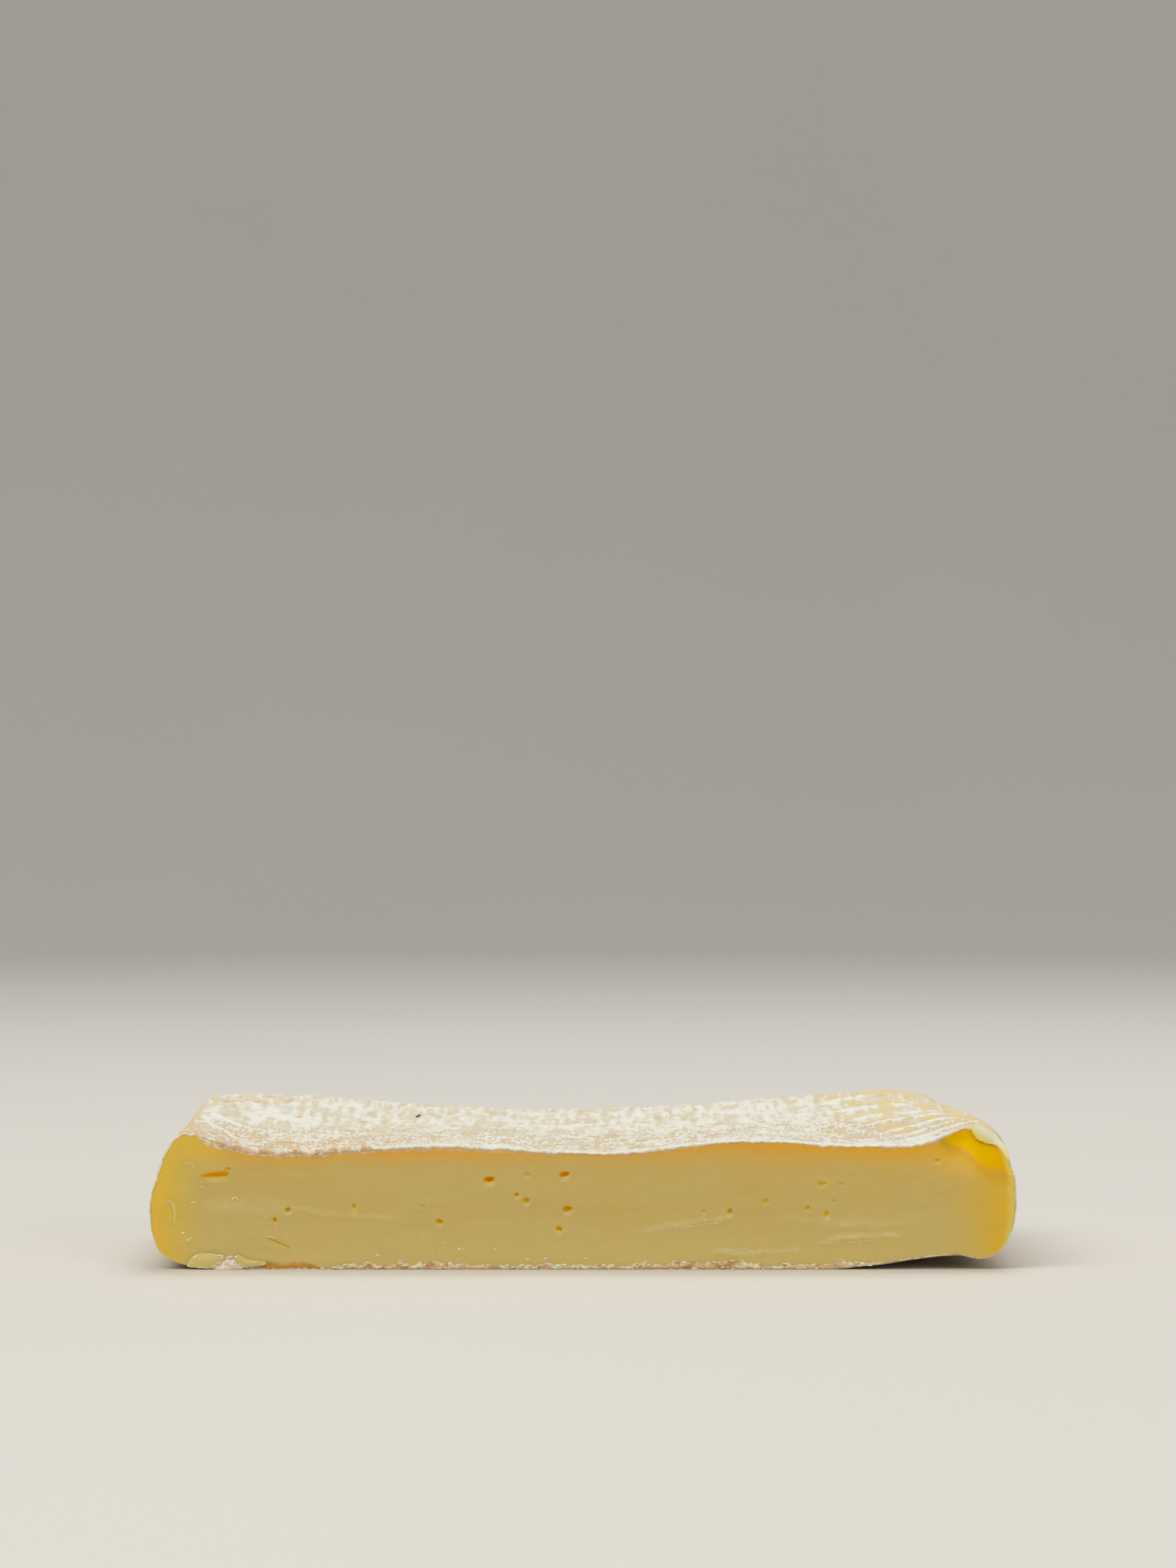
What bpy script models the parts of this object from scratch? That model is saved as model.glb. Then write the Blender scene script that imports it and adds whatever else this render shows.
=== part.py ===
"""Half of a square, flat, soft washed-rind cheese, cut through its middle and lying on its rind.

Metres, +Z up. The cut face looks along -Y and runs along X, the uncut rim is at +Y, and the origin is under
the middle of the block, on the surface that it lies on.
"""

import math

import bmesh
import bpy
from mathutils import Euler, Matrix, Vector, noise

# The block. Depths are measured from the cut face back to the uncut rim, and x from the middle of the cut.
HALF_WIDTH = 0.110
DEPTH = 0.110
COLUMNS, ROWS, LAYERS = 46, 21, 8

# Heights of the top along the cut and along the uncut rim, as (x, z). Between them it is a shallow dish.
CUT_TOP = (
    (-0.108, 0.0352),
    (-0.098, 0.0342),
    (-0.086, 0.0308),
    (-0.074, 0.0298),
    (-0.036, 0.0316),
    (0.004, 0.0296),
    (0.042, 0.0328),
    (0.072, 0.0314),
    (0.084, 0.0318),
    (0.098, 0.0358),
    (0.108, 0.0374),
)
RIM_TOP = (
    (-0.104, 0.0387),
    (-0.090, 0.0397),
    (-0.078, 0.0399),
    (-0.066, 0.0389),
    (-0.036, 0.0362),
    (-0.004, 0.0354),
    (0.018, 0.0360),
    (0.040, 0.0374),
    (0.070, 0.0401),
    (0.083, 0.0413),
    (0.092, 0.0400),
    (0.098, 0.0364),
    (0.106, 0.0346),
)
DISH_POWER = 1.5

# The bottom lies flat along its middle and lifts at both ends.
BOTTOM = (
    (-0.108, 0.0019),
    (-0.092, 0.0),
    (0.060, 0.0),
    (0.074, 0.0010),
    (0.090, 0.0033),
    (0.095, 0.0036),
    (0.101, 0.0026),
)

# The side rind bulges. Each round is OUT across and a share of the thickness high. The upper rounds are
# ellipses. The lower ones are squarer: a fullness of 2 would be an ellipse too, and more is nearer a square.
ROUND_OUT_LEFT, ROUND_OUT_RIGHT = 0.0095, 0.0100
ROUND_TOP_SHARE, ROUND_BOTTOM_SHARE = 0.36, 0.42
FULLNESS_LEFT, FULLNESS_RIGHT = 2.6, 2.25
LEAN_LEFT, LEAN_RIGHT = 0.0024, 0.0005
LEAN_FROM, LEAN_TO = 0.40, 0.80
CORNER_LEFT, CORNER_RIGHT = 0.019, 0.034

# Where the knife went in, the right end of the top edge is squeezed down and its paste scooped back.
SCOOP_X, SCOOP_Z = 0.0985, 0.0335
SCOOP_ACROSS, SCOOP_HIGH, SCOOP_BACK = 0.0078, 0.0058, 0.0084
DENT_X, DENT_ACROSS, DENT_ALONG, DENT_DEEP = 0.1085, 0.0075, 0.0090, 0.0044
DENT_FROM = 0.0170  # the height from which the dent's pull grows, up to the height of the scoop

# Low relief of the rind, and the slight waves of the cut.
RIND_WAVE, RIND_WAVE_LONG = 0.00045, 0.014
CUT_WAVE, CUT_WAVE_LONG = 0.00022, 0.030
BASE_CLEAR = 0.0004

# Eyes in the cut face: x, z, width, height, tilt in degrees, depth.
EYES = (
    (-0.0933, 0.0240, 0.0068, 0.0014, 3, 0.0040),
    (-0.0900, 0.0255, 0.0017, 0.0007, 4, 0.0010),
    (-0.0747, 0.0152, 0.0014, 0.0011, 20, 0.0014),
    (-0.0781, 0.0126, 0.0011, 0.0011, 0, 0.0012),
    (-0.0580, 0.0161, 0.0010, 0.0010, 0, 0.0010),
    (-0.0766, 0.0065, 0.0062, 0.0009, -24, 0.0012),
    (-0.0363, 0.0122, 0.0018, 0.0011, -8, 0.0014),
    (-0.0237, 0.0228, 0.0028, 0.0015, 4, 0.0024),
    (-0.0168, 0.0190, 0.0013, 0.0009, 0, 0.0011),
    (-0.0143, 0.0176, 0.0017, 0.0012, 5, 0.0014),
    (-0.0047, 0.0241, 0.0027, 0.0014, 13, 0.0022),
    (-0.0039, 0.0154, 0.0025, 0.0015, 6, 0.0022),
    (-0.0060, 0.0103, 0.0018, 0.0011, -16, 0.0014),
    (0.0373, 0.0148, 0.0014, 0.0012, 0, 0.0014),
    (0.0464, 0.0175, 0.0015, 0.0008, -6, 0.0009),
    (0.0570, 0.0157, 0.0011, 0.0009, 0, 0.0010),
    (0.0618, 0.0142, 0.0014, 0.0012, 0, 0.0014),
    (0.0606, 0.0218, 0.0022, 0.0008, 2, 0.0012),
    (0.0900, 0.0277, 0.0015, 0.0006, 3, 0.0008),
)
EYE_SIDES, EYE_RINGS = 10, 8
EYE_MOUTH = 0.45  # how far in front of the cut an eye's middle lies, as a share of its depth

# Peeled flakes of paste that lie on the foot of the cut: x, z, length, height, tilt in degrees.
FLAKES = ((-0.0956, 0.0024, 0.0096, 0.0040, 6), (-0.0846, 0.0020, 0.0084, 0.0032, -14))
FLAKE_THICK, FLAKE_RAGGED, FLAKE_UNEVEN = 0.0010, 1.3, 0.3
FLAKE_BLUNT = 3.0  # 2 would make an ellipse, more a squarer leaf
FLAKE_SIDES, FLAKE_RINGS = 20, 8

# The torn edges of the rind stand proud of the cut, as a ragged band along its top and one along its foot.
# Each is x from, x to, least and most height, how far it stands out, and the number of its draw.
TOP_BAND = (-0.099, 0.095, 0.0007, 0.0020, 0.0006, 3.0)
FOOT_BAND = (-0.079, 0.100, 0.0009, 0.0027, 0.0008, 8.0)
BAND_STEPS, BAND_ROOT = 84, 0.0012
BAND_SLOW, BAND_QUICK = (0.0085, 0.75), (0.0026, 0.45)  # length of a band's rises and falls, and their share
BAND_THIN = 0.35  # what is left of a band at its two ends
# A band's section: how far out each corner is, from -1 at its root to 1 at its front, and how high, from 0 to 1.
BAND_SECTION = ((-1.0, 0.4), (0.0, 0.05), (1.0, 0.35), (0.7, 0.8), (-1.0, 1.0))

# A few crumbs of rind between the flakes and along the foot: x, height above the bottom, size.
CRUMBS = (
    (-0.0905, 0.0010, 0.0030),
    (-0.0880, 0.0014, 0.0024),
    (-0.0378, 0.0022, 0.0014),
    (-0.0150, 0.0024, 0.0012),
    (0.0148, 0.0026, 0.0020),
    (0.0275, 0.0024, 0.0022),
    (0.0540, 0.0026, 0.0020),
    (0.0925, 0.0014, 0.0012),
)
CRUMB_UNEVEN, CRUMB_GRAIN = 0.5, 0.0007

PASTE_COLOUR, PASTE_ROUGHNESS = (0.52, 0.38, 0.12), 0.45


def clear_scene():
    for obj in list(bpy.data.objects):
        bpy.data.objects.remove(obj, do_unlink=True)


def smooth(share):
    share = min(1.0, max(0.0, share))
    return share * share * (3.0 - 2.0 * share)


def mix(first, second, share):
    return first + (second - first) * share


def rise(profile, index):
    """The slope of the straight line from one point of a profile to the next."""
    (x0, z0), (x1, z1) = profile[index], profile[index + 1]
    return (z1 - z0) / (x1 - x0)


def slope(profile, index):
    """The slope of the curve at one of a profile's points, level at its ends, hilltops and valley floors."""
    if index == 0 or index == len(profile) - 1:
        return 0.0
    before, after = rise(profile, index - 1), rise(profile, index)
    if before * after <= 0.0:
        return 0.0
    return 2.0 * before * after / (before + after)


def along(profile, x):
    """The height at x of a smooth curve through the profile's points, level beyond its ends."""
    if x <= profile[0][0]:
        return profile[0][1]
    for index in range(len(profile) - 1):
        (x0, z0), (x1, z1) = profile[index], profile[index + 1]
        if x <= x1:
            span = x1 - x0
            share = (x - x0) / span
            rest = 1.0 - share
            level = mix(z0, z1, smooth(share))
            leave = slope(profile, index) * span * share * rest * rest
            arrive = slope(profile, index + 1) * span * share * share * rest
            return level + leave - arrive
    return profile[-1][1]


def round_off(a, b):
    """A point of the unit square carried to the unit quarter disc, so that the square's corner becomes an arc."""
    return a * math.sqrt(1.0 - b * b / 2.0), b * math.sqrt(1.0 - a * a / 2.0)


def fill_out(a, b, fullness):
    """A point of the quarter disc moved outwards, so that its arc becomes a squarer curve."""
    reach = math.hypot(a, b)
    if reach == 0.0:
        return a, b
    spread = ((a / reach) ** fullness + (b / reach) ** fullness) ** (-1.0 / fullness)
    return a * spread, b * spread


def top_height(x, depth):
    return mix(along(CUT_TOP, x), along(RIM_TOP, x), (depth / DEPTH) ** DISH_POWER)


def in_plan(x, depth, inset):
    """The plan point at this inset from the side that (x, depth) is nearest to, with the rear corners rounded."""
    radius = CORNER_LEFT if x < 0.0 else CORNER_RIGHT
    side = 1.0 if x > 0.0 else -1.0
    across = (abs(x) - (HALF_WIDTH - radius)) / radius
    back = (depth - (DEPTH - radius)) / radius
    most = max(across, back)
    if most <= 0.0:
        return x, depth
    scale = (1.0 - inset / radius) / most
    if across > 0.0 and back > 0.0:
        across, back = round_off(across * scale, back * scale)
    elif across > 0.0:
        across = across * scale
    else:
        back = back * scale
    if across > 0.0:
        x = side * (HALF_WIDTH - radius + across * radius)
    if back > 0.0:
        depth = DEPTH - radius + back * radius
    return x, depth


def block_point(x, depth, share):
    """Carries a point of a plain box, share of its height up, to the bulging block."""
    rightness = smooth((x / HALF_WIDTH + 1.0) / 2.0)
    out = mix(ROUND_OUT_LEFT, ROUND_OUT_RIGHT, rightness)
    inset = min(HALF_WIDTH - abs(x), DEPTH - depth)
    a = max(0.0, 1.0 - inset / out)
    if share > 1.0 - ROUND_TOP_SHARE:
        part, sign, start = ROUND_TOP_SHARE, 1.0, 1.0 - ROUND_TOP_SHARE
    else:
        part, sign, start = ROUND_BOTTOM_SHARE, -1.0, ROUND_BOTTOM_SHARE
    b = max(0.0, sign * (share - start) / part)
    rounded_a, rounded_b = round_off(a, b)
    if sign < 0.0:
        rounded_a, rounded_b = fill_out(rounded_a, rounded_b, mix(FULLNESS_LEFT, FULLNESS_RIGHT, rightness))
    if b > 0.0:
        share = start + sign * rounded_b * part
    if a > 0.0:
        inset = out * (1.0 - rounded_a)
    lean = mix(LEAN_LEFT, LEAN_RIGHT, rightness) * a
    inset += lean * smooth((share - LEAN_FROM) / (LEAN_TO - LEAN_FROM))
    x, depth = in_plan(x, depth, inset)
    low = along(BOTTOM, x)
    return x, depth, mix(low, top_height(x, depth), share)


def bump(distance, width):
    return math.exp(-((distance / width) ** 2))


def knife_marks(point, depth):
    """Squeezes the right end of the top edge down, and scoops the paste under it back."""
    dent = DENT_DEEP * bump(point.x - DENT_X, DENT_ACROSS) * bump(depth, DENT_ALONG)
    point.z -= dent * smooth((point.z - DENT_FROM) / (SCOOP_Z - DENT_FROM))
    hollow = bump(point.x - SCOOP_X, SCOOP_ACROSS) * bump(min(0.0, point.z - SCOOP_Z), SCOOP_HIGH)
    point.y += SCOOP_BACK * hollow * bump(depth, SCOOP_BACK)
    return point


def surface_waves(point, normal, on_cut):
    """Low relief: slow waves on the cut, shorter ones on the rind, none where the block lies flat."""
    if on_cut:
        size = CUT_WAVE * noise.noise(point / CUT_WAVE_LONG)
    elif point.z < BASE_CLEAR:
        size = 0.0
    else:
        size = RIND_WAVE * noise.fractal(point / RIND_WAVE_LONG, 1.0, 2.0, 2)
    moved = point + normal * size
    moved.z = max(0.0, moved.z)
    return moved


def new_object(name, bm):
    mesh = bpy.data.meshes.new(name)
    bm.to_mesh(mesh)
    bm.free()
    obj = bpy.data.objects.new(name, mesh)
    bpy.context.scene.collection.objects.link(obj)
    return obj


def boxed_grid():
    """A box of unit height whose every side is a grid: a flat grid, extruded upwards layer by layer."""
    bm = bmesh.new()
    bmesh.ops.create_grid(bm, x_segments=COLUMNS, y_segments=ROWS, size=1.0)
    top = bm.faces[:]
    for layer in range(LAYERS):
        made = bmesh.ops.extrude_face_region(bm, geom=top, use_keep_orig=layer == 0)
        if layer:
            bmesh.ops.delete(bm, geom=top, context="FACES")
        top = [e for e in made["geom"] if isinstance(e, bmesh.types.BMFace)]
        lifted = [e for e in made["geom"] if isinstance(e, bmesh.types.BMVert)]
        bmesh.ops.translate(bm, verts=lifted, vec=(0.0, 0.0, 1.0 / LAYERS))
    bmesh.ops.recalc_face_normals(bm, faces=bm.faces)
    return bm


def make_block():
    bm = boxed_grid()
    on_cut = {v for v in bm.verts if v.co.y < -0.999}
    depths = {}
    for v in bm.verts:
        x, depth, z = block_point(v.co.x * HALF_WIDTH, (v.co.y + 1.0) / 2.0 * DEPTH, v.co.z)
        depths[v] = depth
        v.co = knife_marks(Vector((x, depth - DEPTH / 2.0, z)), depth)
    bm.normal_update()
    moved = {v: surface_waves(v.co, v.normal, v in on_cut) for v in bm.verts}
    for v, point in moved.items():
        v.co = point
    return new_object("cheese_half", bm)


def ellipsoid(bm, centre, size, turn):
    place = Matrix.Translation(centre) @ turn.to_matrix().to_4x4() @ Matrix.Diagonal((*size, 1.0))
    return bmesh.ops.create_uvsphere(
        bm, u_segments=EYE_SIDES, v_segments=EYE_RINGS, radius=0.5, matrix=place
    )["verts"]


def make_eye(x, z, width, height, tilt, depth):
    """A round-bottomed hollow: an ellipsoid whose middle lies just in front of the cut."""
    bm = bmesh.new()
    ahead = EYE_MOUTH * depth
    wider = 1.0 / math.sqrt(1.0 - (ahead / (depth + ahead)) ** 2)
    centre = Vector((x, -DEPTH / 2.0 - ahead, z))
    size = (width * wider, 2.0 * (depth + ahead), height * wider)
    ellipsoid(bm, centre, size, Euler((0.0, -math.radians(tilt), 0.0)))
    return new_object("eye", bm)


def above_foot(point):
    """The same point, or the one just inside the block's underside where it would reach lower."""
    return Vector((point.x, point.y, max(point.z, foot_edge(point.x))))


def make_flake(x, z, length, height, tilt):
    """A thin leaf of peeled paste lying against the cut: a low pad with an uneven outline."""
    bm = bmesh.new()
    made = bmesh.ops.create_uvsphere(bm, u_segments=FLAKE_SIDES, v_segments=FLAKE_RINGS, radius=1.0)["verts"]
    turn = Euler((0.0, -math.radians(tilt), 0.0)).to_matrix()
    for v in made:
        across, up, away = v.co
        edge = Vector((across, up, 0.0)).normalized()
        spread = abs(edge.x) ** FLAKE_BLUNT + abs(edge.y) ** FLAKE_BLUNT
        blunt = max(0.5, spread) ** (-1.0 / FLAKE_BLUNT)
        draw = Vector((0.0, 0.0, x / FLAKE_THICK))
        wide = blunt * (1.0 + FLAKE_UNEVEN * noise.noise(edge * FLAKE_RAGGED + draw))
        flat = Vector((across * wide * length / 2.0, away * FLAKE_THICK, up * wide * height / 2.0))
        v.co = above_foot(turn @ flat + Vector((x, -DEPTH / 2.0, z)))
    bmesh.ops.recalc_face_normals(bm, faces=bm.faces)
    return new_object("flake", bm)


def make_crumb(x, above, size):
    """A small irregular crumb: a low icosphere with its points pushed in and out."""
    bm = bmesh.new()
    centre = Vector((x, -DEPTH / 2.0, along(BOTTOM, x) + above))
    for v in bmesh.ops.create_icosphere(bm, subdivisions=2, radius=0.5 * size)["verts"]:
        uneven = 1.0 + CRUMB_UNEVEN * noise.noise((v.co + centre) / CRUMB_GRAIN)
        v.co = above_foot(centre + v.co * uneven)
    return new_object("crumb", bm)


def ragged(x, least, most, draw):
    """A height between least and most that rises and falls along x like a torn edge."""
    level = 0.5
    for length, share in (BAND_SLOW, BAND_QUICK):
        level += share * noise.noise(Vector((x / length, draw, 0.0)))
    return mix(least, most, min(1.0, max(0.0, level)))


def make_band(edge, inward, start, stop, least, most, proud, draw):
    """A torn edge of rind: a chain of five-sided sections along an edge of the cut, rooted behind it."""
    bm = bmesh.new()
    rings = []
    for step in range(BAND_STEPS + 1):
        share = step / BAND_STEPS
        x = mix(start, stop, share)
        strength = mix(BAND_THIN, 1.0, smooth(10.0 * min(share, 1.0 - share)))
        high = inward * strength * ragged(x, least, most, draw)
        ahead = strength * ragged(x, 0.6 * proud, proud, draw + 2.0)
        ring = []
        for out, up in BAND_SECTION:
            depth = -out * (ahead if out > 0.0 else BAND_ROOT)
            point = Vector((x, depth - DEPTH / 2.0, edge(x) + up * high))
            ring.append(bm.verts.new(knife_marks(point, max(0.0, depth))))
        rings.append(ring)
    for first, second in zip(rings, rings[1:]):
        for side in range(len(first)):
            after = (side + 1) % len(first)
            bm.faces.new((first[side], first[after], second[after], second[side]))
    bm.faces.new(rings[0])
    bm.faces.new(rings[-1])
    bmesh.ops.recalc_face_normals(bm, faces=bm.faces)
    return new_object("band", bm)


def top_edge(x):
    return along(CUT_TOP, x)


def foot_edge(x):
    return along(BOTTOM, x) + BASE_CLEAR


def combine(body, pieces, operation):
    """One Boolean with a whole collection, applied, and the collection's objects then removed."""
    group = bpy.data.collections.new(operation.lower())
    bpy.context.scene.collection.children.link(group)
    for piece in pieces:
        bpy.context.scene.collection.objects.unlink(piece)
        group.objects.link(piece)
    join = body.modifiers.new(operation.lower(), "BOOLEAN")
    join.operation = operation
    join.operand_type = "COLLECTION"
    join.collection = group
    join.solver = "EXACT"
    graph = bpy.context.evaluated_depsgraph_get()
    result = bpy.data.meshes.new_from_object(body.evaluated_get(graph))
    body.modifiers.clear()
    body.data = result
    for piece in pieces:
        bpy.data.objects.remove(piece, do_unlink=True)
    bpy.data.collections.remove(group)


def tidy(body):
    """Splits every face into triangles and puts the origin under the middle of the block."""
    bm = bmesh.new()
    bm.from_mesh(body.data)
    bmesh.ops.triangulate(bm, faces=bm.faces)
    low = Vector([min(v.co[axis] for v in bm.verts) for axis in range(3)])
    high = Vector([max(v.co[axis] for v in bm.verts) for axis in range(3)])
    middle = Vector(((low.x + high.x) / 2.0, (low.y + high.y) / 2.0, low.z))
    bmesh.ops.translate(bm, verts=bm.verts, vec=-middle)
    bm.to_mesh(body.data)
    bm.free()


def finish_look(body):
    paste = bpy.data.materials.new("paste")
    paste.use_nodes = True
    shader = paste.node_tree.nodes["Principled BSDF"]
    shader.inputs["Base Color"].default_value = (*PASTE_COLOUR, 1.0)
    shader.inputs["Roughness"].default_value = PASTE_ROUGHNESS
    body.data.materials.clear()
    body.data.materials.append(paste)
    body.data.shade_smooth()
    body.data.set_sharp_from_angle(angle=math.radians(40.0))


def main():
    clear_scene()
    body = make_block()
    torn = [make_band(top_edge, -1.0, *TOP_BAND), make_band(foot_edge, 1.0, *FOOT_BAND)]
    torn += [make_flake(*flake) for flake in FLAKES]
    torn += [make_crumb(*crumb) for crumb in CRUMBS]
    combine(body, torn, "UNION")
    combine(body, [make_eye(*eye) for eye in EYES], "DIFFERENCE")
    tidy(body)
    finish_look(body)


main()
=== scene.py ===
# half of a flat square soft cheese, its cut face to the front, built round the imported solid
# shapes are worked out in millimetres and written to the meshes in metres; colours are given from 0 to 255

import math
import random
from functools import partial

import bmesh
import bpy
import numpy as np
from mathutils import Euler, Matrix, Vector, noise
from mathutils.kdtree import KDTree


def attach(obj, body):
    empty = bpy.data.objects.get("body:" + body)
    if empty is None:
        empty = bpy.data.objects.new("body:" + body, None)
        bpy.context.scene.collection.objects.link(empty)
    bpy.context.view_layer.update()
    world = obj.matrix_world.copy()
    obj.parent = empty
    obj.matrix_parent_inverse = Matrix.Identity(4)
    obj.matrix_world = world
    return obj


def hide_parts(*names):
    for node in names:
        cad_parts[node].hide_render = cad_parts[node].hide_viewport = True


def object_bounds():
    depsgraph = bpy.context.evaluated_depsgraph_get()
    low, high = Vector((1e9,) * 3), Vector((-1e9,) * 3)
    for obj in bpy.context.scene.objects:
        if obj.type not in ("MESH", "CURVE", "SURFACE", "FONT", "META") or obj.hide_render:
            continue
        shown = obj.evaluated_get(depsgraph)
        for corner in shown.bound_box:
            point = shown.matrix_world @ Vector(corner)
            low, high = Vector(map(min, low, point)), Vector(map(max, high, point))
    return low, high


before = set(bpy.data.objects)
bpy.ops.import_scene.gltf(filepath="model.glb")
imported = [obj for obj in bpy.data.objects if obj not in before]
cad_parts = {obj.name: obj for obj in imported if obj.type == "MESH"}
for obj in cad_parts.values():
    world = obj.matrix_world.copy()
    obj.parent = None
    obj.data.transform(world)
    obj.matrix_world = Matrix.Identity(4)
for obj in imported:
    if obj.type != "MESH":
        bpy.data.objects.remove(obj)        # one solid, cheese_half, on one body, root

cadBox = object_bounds()
mm = 0.001
random.seed(7)
print("frame loaded")


# noise at a place, from about -1 to 1, plain or in finer and finer layers
def wobble(x, y, z):
    return noise.noise(Vector((x, y, z)))


def rugged(x, y, z, fall=0.8, gap=2.0, layers=3):
    return noise.fractal(Vector((x, y, z)), fall, gap, layers)


# the form, the same curves and rounds as the solid has

block = {
    "halfWidth": 110.0,
    "depth": 110.0,
    "cutY": -54.37,  # where the cut face lies
    "middleX": 0.04,
    "cutTop": ((-108, 35.2), (-98, 34.2), (-86, 30.8), (-74, 29.8), (-36, 31.6), (4, 29.6), (42, 32.8),
               (72, 31.4), (84, 31.8), (98, 35.8), (108, 37.4)),
    "rimTop": ((-104, 38.7), (-90, 39.7), (-78, 39.9), (-66, 38.9), (-36, 36.2), (-4, 35.4), (18, 36.0),
               (40, 37.4), (70, 40.1), (83, 41.3), (92, 40.0), (98, 36.4), (106, 34.6)),
    "bottom": ((-108, 1.9), (-92, 0.0), (60, 0.0), (74, 1.0), (90, 3.3), (95, 3.6), (101, 2.6)),
    "dishPower": 1.5,
    "roundOut": (9.5, 10.0),  # left, right
    "roundTopShare": 0.36,
    "roundBottomShare": 0.42,
    "fullness": (2.6, 2.25),  # of the lower rounds: 2 is an ellipse, more is squarer
    "lean": (2.4, 0.5),
    "leanRange": (0.40, 0.80),
    "corner": (19.0, 34.0),
    "scoop": {"x": 98.5, "z": 33.5, "across": 7.8, "high": 5.8, "back": 8.4,
              # the line under which the paste wasn't lifted out: x, z
              "edge": ((88, 33.5), (90.9, 32.0), (94.9, 30.7), (98.5, 28.9), (100.6, 26.6), (103.5, 25.2),
                       (109, 24.7)), "step": 0.7},
    "dent": {"x": 108.5, "across": 7.5, "along": 9.0, "deep": 4.4, "from": 17.0},
    "columns": 324,
    "rows": 80,
    "layers": 50,
    "rowBias": 0.4,  # rows are closer together near the cut
    "clear": 0.02,  # how far inside the solid's box everything stays
}


def smooth(share):
    share = min(1.0, max(0.0, share))
    return share * share * (3.0 - 2.0 * share)


def mix(first, second, share):
    return first + (second - first) * share


def bump(distance, width):
    return math.exp(-((distance / width) ** 2))


def slopeAt(profile, index):
    if index == 0 or index == len(profile) - 1:
        return 0.0
    (x0, z0), (x1, z1), (x2, z2) = profile[index - 1:index + 2]
    before, after = (z1 - z0) / (x1 - x0), (z2 - z1) / (x2 - x1)
    return 0.0 if before * after <= 0.0 else 2.0 * before * after / (before + after)


def along(profile, x):
    if x <= profile[0][0]:
        return profile[0][1]
    for index in range(len(profile) - 1):
        (x0, z0), (x1, z1) = profile[index], profile[index + 1]
        if x <= x1:
            span, share = x1 - x0, (x - x0) / (x1 - x0)
            rest = 1.0 - share
            leave = slopeAt(profile, index) * span * share * rest * rest
            arrive = slopeAt(profile, index + 1) * span * share * share * rest
            return mix(z0, z1, smooth(share)) + leave - arrive
    return profile[-1][1]


def roundOff(a, b):
    return a * math.sqrt(1.0 - b * b / 2.0), b * math.sqrt(1.0 - a * a / 2.0)


def fillOut(a, b, fullness):
    reach = math.hypot(a, b)
    if reach == 0.0:
        return a, b
    spread = ((a / reach) ** fullness + (b / reach) ** fullness) ** (-1.0 / fullness)
    return a * spread, b * spread


def topHeight(x, depth):
    rise = (max(0.0, depth) / block["depth"]) ** block["dishPower"]
    return mix(along(block["cutTop"], x), along(block["rimTop"], x), rise)


def inPlan(x, depth, inset):
    radius = block["corner"][0 if x < 0.0 else 1]
    side = 1.0 if x > 0.0 else -1.0
    across = (abs(x) - (block["halfWidth"] - radius)) / radius
    back = (depth - (block["depth"] - radius)) / radius
    most = max(across, back)
    if most <= 0.0:
        return x, depth
    scale = (1.0 - inset / radius) / most
    if across > 0.0 and back > 0.0:
        across, back = roundOff(across * scale, back * scale)
    elif across > 0.0:
        across = across * scale
    else:
        back = back * scale
    if across > 0.0:
        x = side * (block["halfWidth"] - radius + across * radius)
    if back > 0.0:
        depth = block["depth"] - radius + back * radius
    return x, depth


def blockPoint(x, depth, share):
    rightness = smooth((x / block["halfWidth"] + 1.0) / 2.0)
    out = mix(*block["roundOut"], rightness)
    inset = min(block["halfWidth"] - abs(x), block["depth"] - depth)
    a = max(0.0, 1.0 - inset / out)
    if share > 1.0 - block["roundTopShare"]:
        part, sign, start = block["roundTopShare"], 1.0, 1.0 - block["roundTopShare"]
    else:
        part, sign, start = block["roundBottomShare"], -1.0, block["roundBottomShare"]
    b = max(0.0, sign * (share - start) / part)
    roundedA, roundedB = roundOff(a, b)
    if sign < 0.0:
        roundedA, roundedB = fillOut(roundedA, roundedB, mix(*block["fullness"], rightness))
    if b > 0.0:
        share = start + sign * roundedB * part
    if a > 0.0:
        inset = out * (1.0 - roundedA)
    low, high = block["leanRange"]
    inset += mix(*block["lean"], rightness) * a * smooth((share - low) / (high - low))
    x, depth = inPlan(x, depth, inset)
    return x, depth, mix(along(block["bottom"], x), topHeight(x, depth), share)


def scoopAt(x, z, depth):
    scoop = block["scoop"]
    hollow = bump(x - scoop["x"], scoop["across"]) * bump(min(0.0, z - scoop["z"]), scoop["high"])
    return hollow * bump(depth, scoop["back"])


# above 0 over the scoop's lower edge, where the knife lifted the paste out
def pastEdge(x, z):
    return (z - along(block["scoop"]["edge"], x)) * 0.85 - 12.0 * smooth((94.0 - x) / 14.0)


# the point in the frame, with what the knife did to the right end of the top edge
def placed(x, depth, z):
    dent = block["dent"]
    pull = dent["deep"] * bump(x - dent["x"], dent["across"]) * bump(depth, dent["along"])
    z -= pull * smooth((z - dent["from"]) / (block["scoop"]["z"] - dent["from"]))
    y = depth + block["cutY"] + block["scoop"]["back"] * scoopAt(x, z, depth)
    return Vector((x + block["middleX"], y, z))


# meshes and objects

def deselect():
    if bpy.context.object and bpy.context.object.mode != "OBJECT":
        bpy.ops.object.mode_set(mode="OBJECT")
    bpy.ops.object.select_all(action="DESELECT")


# a plain square grid, which the caller bends into shape
def sheetOfQuads(name, across, up):
    deselect()
    bpy.ops.mesh.primitive_grid_add(x_subdivisions=across, y_subdivisions=up, size=2)
    obj = bpy.context.object
    obj.name = name
    return obj


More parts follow.
